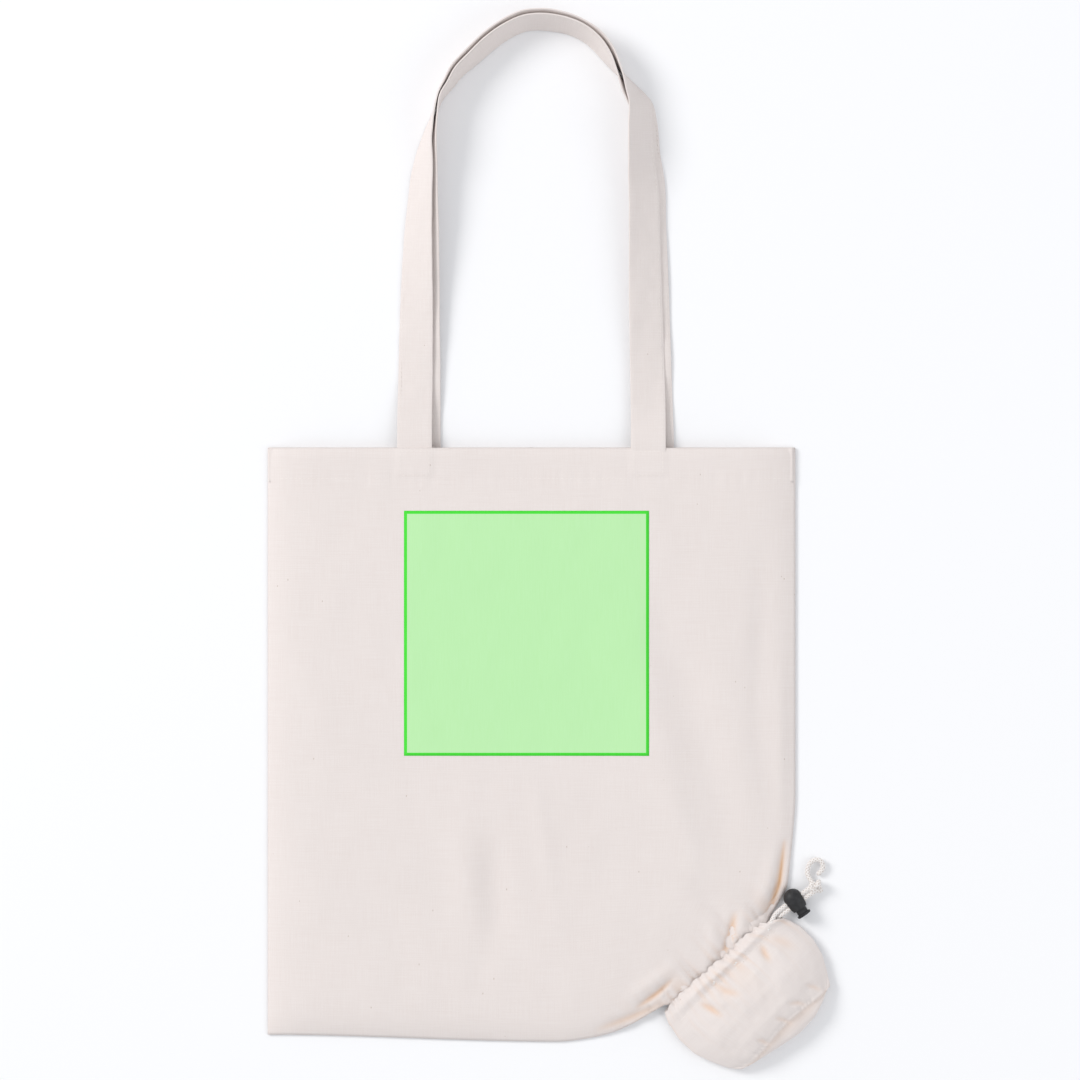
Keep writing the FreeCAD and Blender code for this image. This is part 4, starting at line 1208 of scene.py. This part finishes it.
def sew_panel(name, lie, shift, body, thickness, *nodes):
    """The hem's row and both boxes of one panel, as one piece of thread."""
    edge = HALF_WIDTH - ROW_TO_SIDE
    runs = [((-edge, HEM_ROW), (edge, HEM_ROW))]
    for side in (-1, 1):
        runs += box_runs(shift + side * HANDLE_HALF_SPACING)
    starts, ends = rows_on_panel(runs, lie, 51)
    piece = sew(name, starts, ends, np.tile((0.0, 0.0, 1.0), (len(starts), 1)), thickness)
    dress(piece, body, "thread", thread_material)
    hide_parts(*nodes)
    return piece


front_stitches = sew_panel("front_hem_stitches", lambda x, y: panel_height(x, y) - 0.02, 0, None, 0.34,
                           "front_hem_stitching", "front_handle_stitching")
bend_with_mouth(front_stitches)
sew_panel("back_hem_stitches", lambda x, y: back_lie(x, y) - 0.2, BACK_SHIFT, "tote_back", 0.9,
          "back_hem_stitching", "back_handle_stitching")

# %% The row along each strap's folded edge
ROW_FROM_EDGE = 2.0


def sew_strap(name, course, seed):
    """One row of stitches along the strap, near its folded edge and right through it."""
    starts, ends = stitch_places(course.length - 2 * TAB - 8, seed)
    starts, ends = starts + TAB + 4, ends + TAB + 4
    across = np.full(len(starts), -STRAP_WIDTH / 2 + ROW_FROM_EDGE)
    flat = np.zeros(len(starts))
    first = course.at(starts, across, flat)
    second = course.at(ends, across, flat)
    normals = course.at(starts, across, flat + 1) - first
    piece = sew(name, first, second, normals, STRAP_THICKNESS + 0.42)
    dress(piece, None, "thread", thread_material)
    bend_at_hem(piece)


sew_strap("front_strap_stitches", front_course, 61)
sew_strap("back_strap_stitches", back_course, 62)
print("stitches on the front panel:", len(front_stitches.data.vertices) // len(bead))

# %% [markdown]
# ## The storage pouch
# The pouch is a flat cloth bag about 12 by 8 cm, puffed up a little, with its mouth gathered
# on the drawcord. It starts as two grids, a front and a back, that share their points along
# both side seams and the bottom seam. The front is drawn up into small pleats at the channel,
# and the seam near the bottom puckers, with the cloth of the back rolling out below it.

# %% The pouch's outline, in its own axes
LEFT_SEAM = [(-51, 0), (-54.5, 8), (-57, 22), (-55.5, 37), (-50, 50), (-44, 61), (-37, 68)]
RIGHT_SEAM = [(51, 2), (59, 8), (63.5, 20), (64, 33), (61.5, 45), (56, 56), (50, 66)]
MOUTH_EDGE = [(-51, 0), (-38, -2.2), (-24, -3.0), (-8, -2.0), (6, -1.2), (26, -2.0), (42, -1.6), (51, 2)]
LOWER_SEAM = [(-37, 68), (-27, 69.5), (-14, 68), (0, 65.5), (13, 64.5), (28, 65.5), (40, 67), (50, 66)]
LOWER_OUTLINE = [(-37, 68), (-28, 73.5), (-16, 76.5), (-3, 79.5), (12, 82), (27, 80.5), (39, 75), (50, 66)]
POUCH_COLUMNS = 84
POUCH_ROWS = 56
SLIT_ROWS = 8
STITCH_ROW = 0.19
POUCH_EDGE_HEIGHT = 5.5


def along_points(points, share):
    """A smooth read of a line of points, by share of its length."""
    points = np.array(points, float)
    lengths = np.concatenate([[0], np.cumsum(np.linalg.norm(np.diff(points, axis=0), axis=1))])
    lengths /= lengths[-1]
    fine = np.linspace(0, 1, 200)
    rough = np.stack([np.interp(fine, lengths, points[:, axis]) for axis in (0, 1)], axis=1)
    kernel = np.hanning(17)
    kernel /= kernel.sum()
    padded = np.vstack([2 * rough[0] - rough[8:0:-1], rough, 2 * rough[-1] - rough[-2:-10:-1]])
    smooth = np.stack([np.convolve(padded[:, axis], kernel, "valid") for axis in (0, 1)], axis=1)
    return np.stack([np.interp(share, fine, smooth[:, axis]) for axis in (0, 1)], axis=-1)


def between_edges(across, down):
    """A point of the front, between its four edges, across from 0 to 1 and down from 0 to 1."""
    top, low = along_points(MOUTH_EDGE, across), along_points(LOWER_SEAM, across)
    left, right = along_points(LEFT_SEAM, down), along_points(RIGHT_SEAM, down)
    across, down = across[..., None], down[..., None]
    mouth_side = (1 - across) * along_points(MOUTH_EDGE, 0.0) + across * along_points(MOUTH_EDGE, 1.0)
    seam_side = (1 - across) * along_points(LOWER_SEAM, 0.0) + across * along_points(LOWER_SEAM, 1.0)
    corners = (1 - down) * mouth_side + down * seam_side
    return (1 - down) * top + down * low + (1 - across) * left + across * right - corners


def eased(keys, values, place):
    """Values read between keys with a smooth rise from each to the next."""
    keys, values = np.array(keys, float), np.array(values, float)
    fine = np.linspace(0, 1, 401)
    read = np.interp(fine, keys, values)
    kernel = np.hanning(15)
    padded = np.concatenate([np.full(7, read[0]), read, np.full(7, read[-1])])
    return np.interp(place, fine, np.convolve(padded, kernel / kernel.sum(), "valid"))


# %% Pleats at the channel and puckers at the seam
# Each dimple: the line it follows, its half width, how far it rises, and how much warm shade is painted into
# its colour.
DIMPLES = [
    ([(-27, 12), (-24, 20), (-22, 28)], 2.6, -1.5, 0.5),
    ([(-10, 9), (-8, 17), (-2, 25)], 3.2, -1.2, 0.35),
    ([(-19, 11), (-17, 19), (-16, 26)], 3.0, 1.0, 0.0),
    ([(33, 10), (31, 16), (30, 22)], 2.6, -1.6, 0.45),
    ([(22, 20), (18, 32), (16, 42)], 6.0, -0.9, 0.0),
    ([(-6, 36), (4, 43), (12, 48)], 7.0, -0.8, 0.0),
    ([(41, 10), (46, 18), (49, 27)], 4.0, -1.2, 0.2),
    ([(-14, 58), (-12, 62), (-11, 66)], 1.8, -0.9, 0.2),
    ([(6, 55), (9, 60), (11, 65)], 1.8, -1.0, 0.2),
    ([(20, 54), (25, 58), (28, 63)], 1.9, -1.1, 0.2),
    ([(38, 53), (41, 58), (43, 63)], 1.7, -1.0, 0.2),
    ([(-36, 30), (-34, 42), (-28, 52)], 6.0, 0.8, 0.0),
]


def pleats(across, down):
    """Uneven pleats that start at the channel and die out into the pouch."""
    place = across * 105
    depth = 0.55 + 0.45 * uneven_gathers(place, 31.0, 77)
    fine = depth * uneven_gathers(place, 6.1, 71) * np.exp(-((down - 0.14) / 0.10) ** 2)
    broad = uneven_gathers(place, 15.0, 72) * np.exp(-np.clip(down - 0.1, 0, None) / 0.2)
    return 0.8 * fine + 0.9 * broad * step_between(down, 0.02, 0.2)


def seam_puckers(across, down):
    """A ridge along the lower seam, and the short puckers above it."""
    place = across * 92
    above = uneven_gathers(place, 5.6, 73) * np.exp(-(1 - down) / 0.06)
    ridge = 0.8 * np.exp(-((1 - down - 0.02) / 0.018) ** 2)
    return (0.95 * above + ridge) * step_between(1 - down, 0, 0.015)


def pouch_front(across, down):
    """The front's place and height: u, v and z."""
    plan = between_edges(across, down)
    u, v = plan[..., 0], plan[..., 1]
    middle = eased([0, 0.05, 0.105, 0.18, 0.25, 0.36, 0.56, 0.78, 0.92, 1.0],
                   [9.8, 13.2, 15.4, 13.9, 16.2, 19.0, 21.3, 20.4, 17.2, 14.0], down)
    outlet = 5.0 * step_between(across, 0.75, 0.97) * step_between(0.2 - down, 0, 0.14)
    side = POUCH_EDGE_HEIGHT + outlet
    crown = 1 - np.abs(2 * across - 1) ** 2.5
    z = side + (middle - side) * crown
    z += (pleats(across, down) + seam_puckers(across, down)) * np.clip(crown * 2.5, 0, 1)
    inside = np.clip(crown * 2, 0, 1) * step_between(1 - down, 0, 0.1)
    z += 0.40 * inside * gentle_waves(u, v, 74, 9, 20, 46) + 0.13 * inside * gentle_waves(u, v, 75, 12, 7, 15)
    for line, width, lift, _ in DIMPLES:
        z += lift * fold(u, v, line, width) * np.clip(crown * 2.5, 0, 1)
    x, y = pouch_plan(u, v)
    over_tote = panel_height(x, y) + 0.75
    z = np.where(v < PANEL_MARGIN + 2, np.maximum(z, over_tote), z)
    frill = np.exp(-(down / 0.05) ** 2)
    z = z * (1 - 0.75 * frill) + np.maximum(over_tote, side - 1.5) * 0.75 * frill
    ruffle = uneven_gathers(across * 105, 9.5, 78)
    z += 0.65 * (1 + ruffle) * np.exp(-(down / 0.13) ** 2) * np.clip(crown * 3, 0, 1)
    return u, v + frill * (0.5 * uneven_gathers(across * 105, 6.1, 71) - 1.0 * ruffle), z


def pouch_back(across, down):
    """The back, from the lower seam (1) round the bulge and under the pouch to its mouth (0)."""
    plan = between_edges(across, down)
    swell = along_points(LOWER_OUTLINE, across) - along_points(LOWER_SEAM, across)
    plan = plan + swell * eased([0, 0.6, 0.72, 0.80, 0.86, 0.90, 0.94, 0.97, 1],
                                [0, 0.12, 0.45, 0.80, 0.97, 1.0, 0.86, 0.55, 0], down)[..., None]
    middle = eased([0, 0.72, 0.80, 0.86, 0.90, 0.94, 0.97, 1],
                   [0.5, 0.5, 1.0, 3.6, 7.0, 10.6, 12.6, 14.0], down)
    slit = step_between(down, 0.02, 0.16)
    side = POUCH_EDGE_HEIGHT * slit + 0.9 * (1 - slit)
    roundness = 7 - 4.5 * step_between(down, 0.78, 1.0)
    crown = 1 - np.abs(2 * across - 1) ** roundness
    z = side + (middle - side) * crown
    lie = step_between(down, 0.8, 0.9) * step_between(1 - down, 0, 0.05) * crown
    z += 0.3 * lie * gentle_waves(plan[..., 0], plan[..., 1], 76, 8, 12, 34)
    return plan[..., 0], plan[..., 1], np.maximum(z, 0.45)


# %% Sew the two sides into one bag
POUCH_CLOTH_WIDTH = 150.0
POUCH_CLOTH_DEPTH = 92.0
POUCH_CLOTH_THICKNESS = 0.45


def pouch_bag(name):
    """The pouch as one open bag of quads, its back using the front's own points at the seams."""
    across, down = np.meshgrid(np.linspace(0, 1, POUCH_COLUMNS + 1), np.linspace(0, 1, POUCH_ROWS + 1))
    front = np.dstack(pouch_front(across, down)).reshape(-1, 3)
    back = np.dstack(pouch_back(across, down)).reshape(-1, 3)
    width = POUCH_COLUMNS + 1
    number = np.arange(len(front)).reshape(across.shape)
    behind = number + len(front)
    behind[-1, :] = number[-1, :]
    behind[SLIT_ROWS:, 0] = number[SLIT_ROWS:, 0]
    behind[SLIT_ROWS:, -1] = number[SLIT_ROWS:, -1]
    faces = []
    for row in range(POUCH_ROWS):
        for column in range(POUCH_COLUMNS):
            near, far = number[row, column:column + 2], number[row + 1, column:column + 2]
            faces.append((int(near[0]), int(far[0]), int(far[1]), int(near[1])))
            near, far = behind[row, column:column + 2], behind[row + 1, column:column + 2]
            faces.append((int(near[0]), int(near[1]), int(far[1]), int(far[0])))
    points = np.vstack([front, back])
    piece = new_piece(name, points, faces)
    corners = corner_points(piece)
    share = np.tile(down.ravel(), 2)
    flat_u = (np.tile(across.ravel(), 2) - 0.5) * POUCH_CLOTH_WIDTH
    flat = piece.data.uv_layers.new(name="UVMap")
    flat_places = np.stack([flat_u, share * POUCH_CLOTH_DEPTH], axis=1) * MM
    flat.data.foreach_set("uv", flat_places[corners].ravel())
    is_front = np.arange(len(points)) < len(front)
    # Warm shade painted into the colour in the pleat valleys, the warm dimples and along the lower seam.
    painted_shade = np.clip(-pleats(np.tile(across.ravel(), 2), share), 0, 1) * 0.26 * is_front
    for line, line_width, _, shade_weight in DIMPLES:
        if shade_weight:
            dimple = fold(points[:, 0], points[:, 1], line, line_width * 0.8)
            painted_shade = np.maximum(painted_shade, shade_weight * dimple * is_front)
    painted_shade += 0.16 * np.exp(-((1 - share) / 0.02) ** 2)
    u, v, z = points.T
    carry(piece, *pouch_plan(u, v), z)
    keep_painted_shade(piece, np.clip(painted_shade, 0, 0.6))
    make_active(piece)
    bpy.ops.object.mode_set(mode="EDIT")
    bpy.ops.mesh.select_all(action="SELECT")
    bpy.ops.mesh.delete_loose()
    bpy.ops.object.mode_set(mode="OBJECT")
    face_outward(piece)
    return piece


pouch = pouch_bag("pouch_cloth")
add_modifier(pouch, "SUBSURF", levels=1, render_levels=1)
add_modifier(pouch, "SOLIDIFY", thickness=POUCH_CLOTH_THICKNESS * MM, offset=-1)
shade_smooth(pouch)
dress(pouch, "pouch", "cotton_cloth", cloth_material)
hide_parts("pouch_back", "pouch_front", "pouch_casing_back", "pouch_casing_front")
print("pouch faces:", len(pouch.data.polygons))

# %% [markdown]
# The row of stitches under the channel follows the front of the pouch, sinking into each pleat.

# %% The row under the channel
def sew_channel(name):
    """Stitches along the pouch's front, each end laid on the cloth."""
    row_length = 96.0
    first, last = stitch_places(row_length, 82)
    places = []
    for distances in (first, last):
        across = 0.07 + 0.86 * distances / row_length
        u, v, z = pouch_front(across, np.full_like(across, STITCH_ROW))
        places.append(np.column_stack([*pouch_plan(u, v), z + 0.05]))
    piece = sew(name, places[0], places[1], np.tile((0.0, 0.0, 1.0), (len(first), 1)), 0.34)
    dress(piece, "pouch", "thread", thread_material)
    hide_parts("pouch_channel_stitching")


sew_channel("channel_stitches")

# %% [markdown]
# ## Inside the bag
# The tote's bottom corner runs on into the pouch as two crumpled layers, sewn into the pouch's
# bottom seam. Round the inside of every seam runs its allowance, a strip of the cut edges.

# %% The gathered corner inside the pouch
CORNER_START = -13.0
CORNER_END = 52.0


def gathered_corner(name):
    """Two crumpled layers from under the tote's edge to deep in the pouch, joined round the end."""
    piece, a, b = cut_cloth(name, 44, 72, (-1, 1), (-1, 1))
    layer = np.sign(b)
    share = 1 - np.abs(b)
    v = CORNER_START + (CORNER_END - CORNER_START) * share
    half = 39 - 16 * share
    u = a * half + 2.0 * share
    crumple = 0.55 * uneven_gathers(u, 8.5, 91) + 0.25 * gentle_waves(u, v, 92, 8, 9, 26)
    middle = 3.9 + 1.2 * step_between(v, 0, 25)
    apart = 0.55 * step_between(1 - share, 0, 0.06)
    z = middle + layer * apart + crumple * 0.8
    x, y = pouch_plan(u, v)
    low, high = back_lie(x, y), panel_height(x, y)
    between = low + (high - low) * (0.42 + 0.14 * layer * apart / 0.55)
    inside = step_between(v, PANEL_MARGIN + 1, 16)
    z = between * (1 - inside) + z * inside
    carry(piece, x, y, z)
    add_modifier(piece, "SOLIDIFY", thickness=0.35 * MM, offset=0)
    shade_smooth(piece)
    return piece


corner = gathered_corner("gathered_corner")
keep_painted_shade(corner, np.zeros(len(corner.data.vertices)))
dress(corner, None, "cotton_cloth", cloth_material)
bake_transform(corner)
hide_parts("tote_corner")

# %% Seam allowances
ALLOWANCE = 8.0


def allowance(name, centre_line, width, height, body, node, seed):
    """A slightly wavy strip of two cut edges, laid flat along the inside of a seam."""
    line, length = evenly(np.array([(x * MM, y * MM, 0) for x, y in centre_line], float), 2.2 * MM)
    line = line / MM
    columns = len(line) - 1
    piece, a, b = cut_cloth(name, columns, 5, (0, length / MM), (-width / 2, width / 2))
    index = np.clip(np.round(a / (length / MM) * columns).astype(int), 0, columns)
    heading = np.gradient(line, axis=0)
    heading /= np.linalg.norm(heading, axis=1)[:, None]
    x = line[index, 0] - heading[index, 1] * b
    y = line[index, 1] + heading[index, 0] * b
    z = height + 0.18 * gentle_waves(a, b, seed, 6, 10, 34)
    carry(piece, x, y, z)
    add_modifier(piece, "SOLIDIFY", thickness=CLOTH_THICKNESS * MM, offset=0)
    shade_smooth(piece)
    dress(piece, body, "cotton_cloth", cloth_material)
    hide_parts(node)


inset = 3.5 + ALLOWANCE / 2
side_top = HALF_HEIGHT - HEM_DEPTH - 1
left_places = [(-HALF_WIDTH + inset, y) for y in np.linspace(8 - HALF_HEIGHT, side_top, 12)]
right_places = [(right_edge(y) - inset, y) for y in np.linspace(-70, side_top, 16)]
bottom_places = [(x, bottom_edge(x) + inset) for x in np.linspace(14 - HALF_WIDTH, 44, 14)]
pouch_places = [pouch_plan(4 + 0.86 * (u - 4), 0.86 * v)
                for u, v in LEFT_SEAM[3:] + LOWER_SEAM[1:-1] + RIGHT_SEAM[:2:-1]]
allowance("left_allowance", left_places, ALLOWANCE, 1.05, "tote_back", "left_seam", 61)
allowance("right_allowance", right_places, ALLOWANCE, 1.05, "tote_back", "right_seam", 62)
allowance("bottom_allowance", bottom_places, ALLOWANCE, 1.05, "tote_back", "bottom_seam", 63)
allowance("pouch_allowance", pouch_places, 4.0, 1.9, "pouch", "pouch_seam", 64)
print("seam allowances laid")
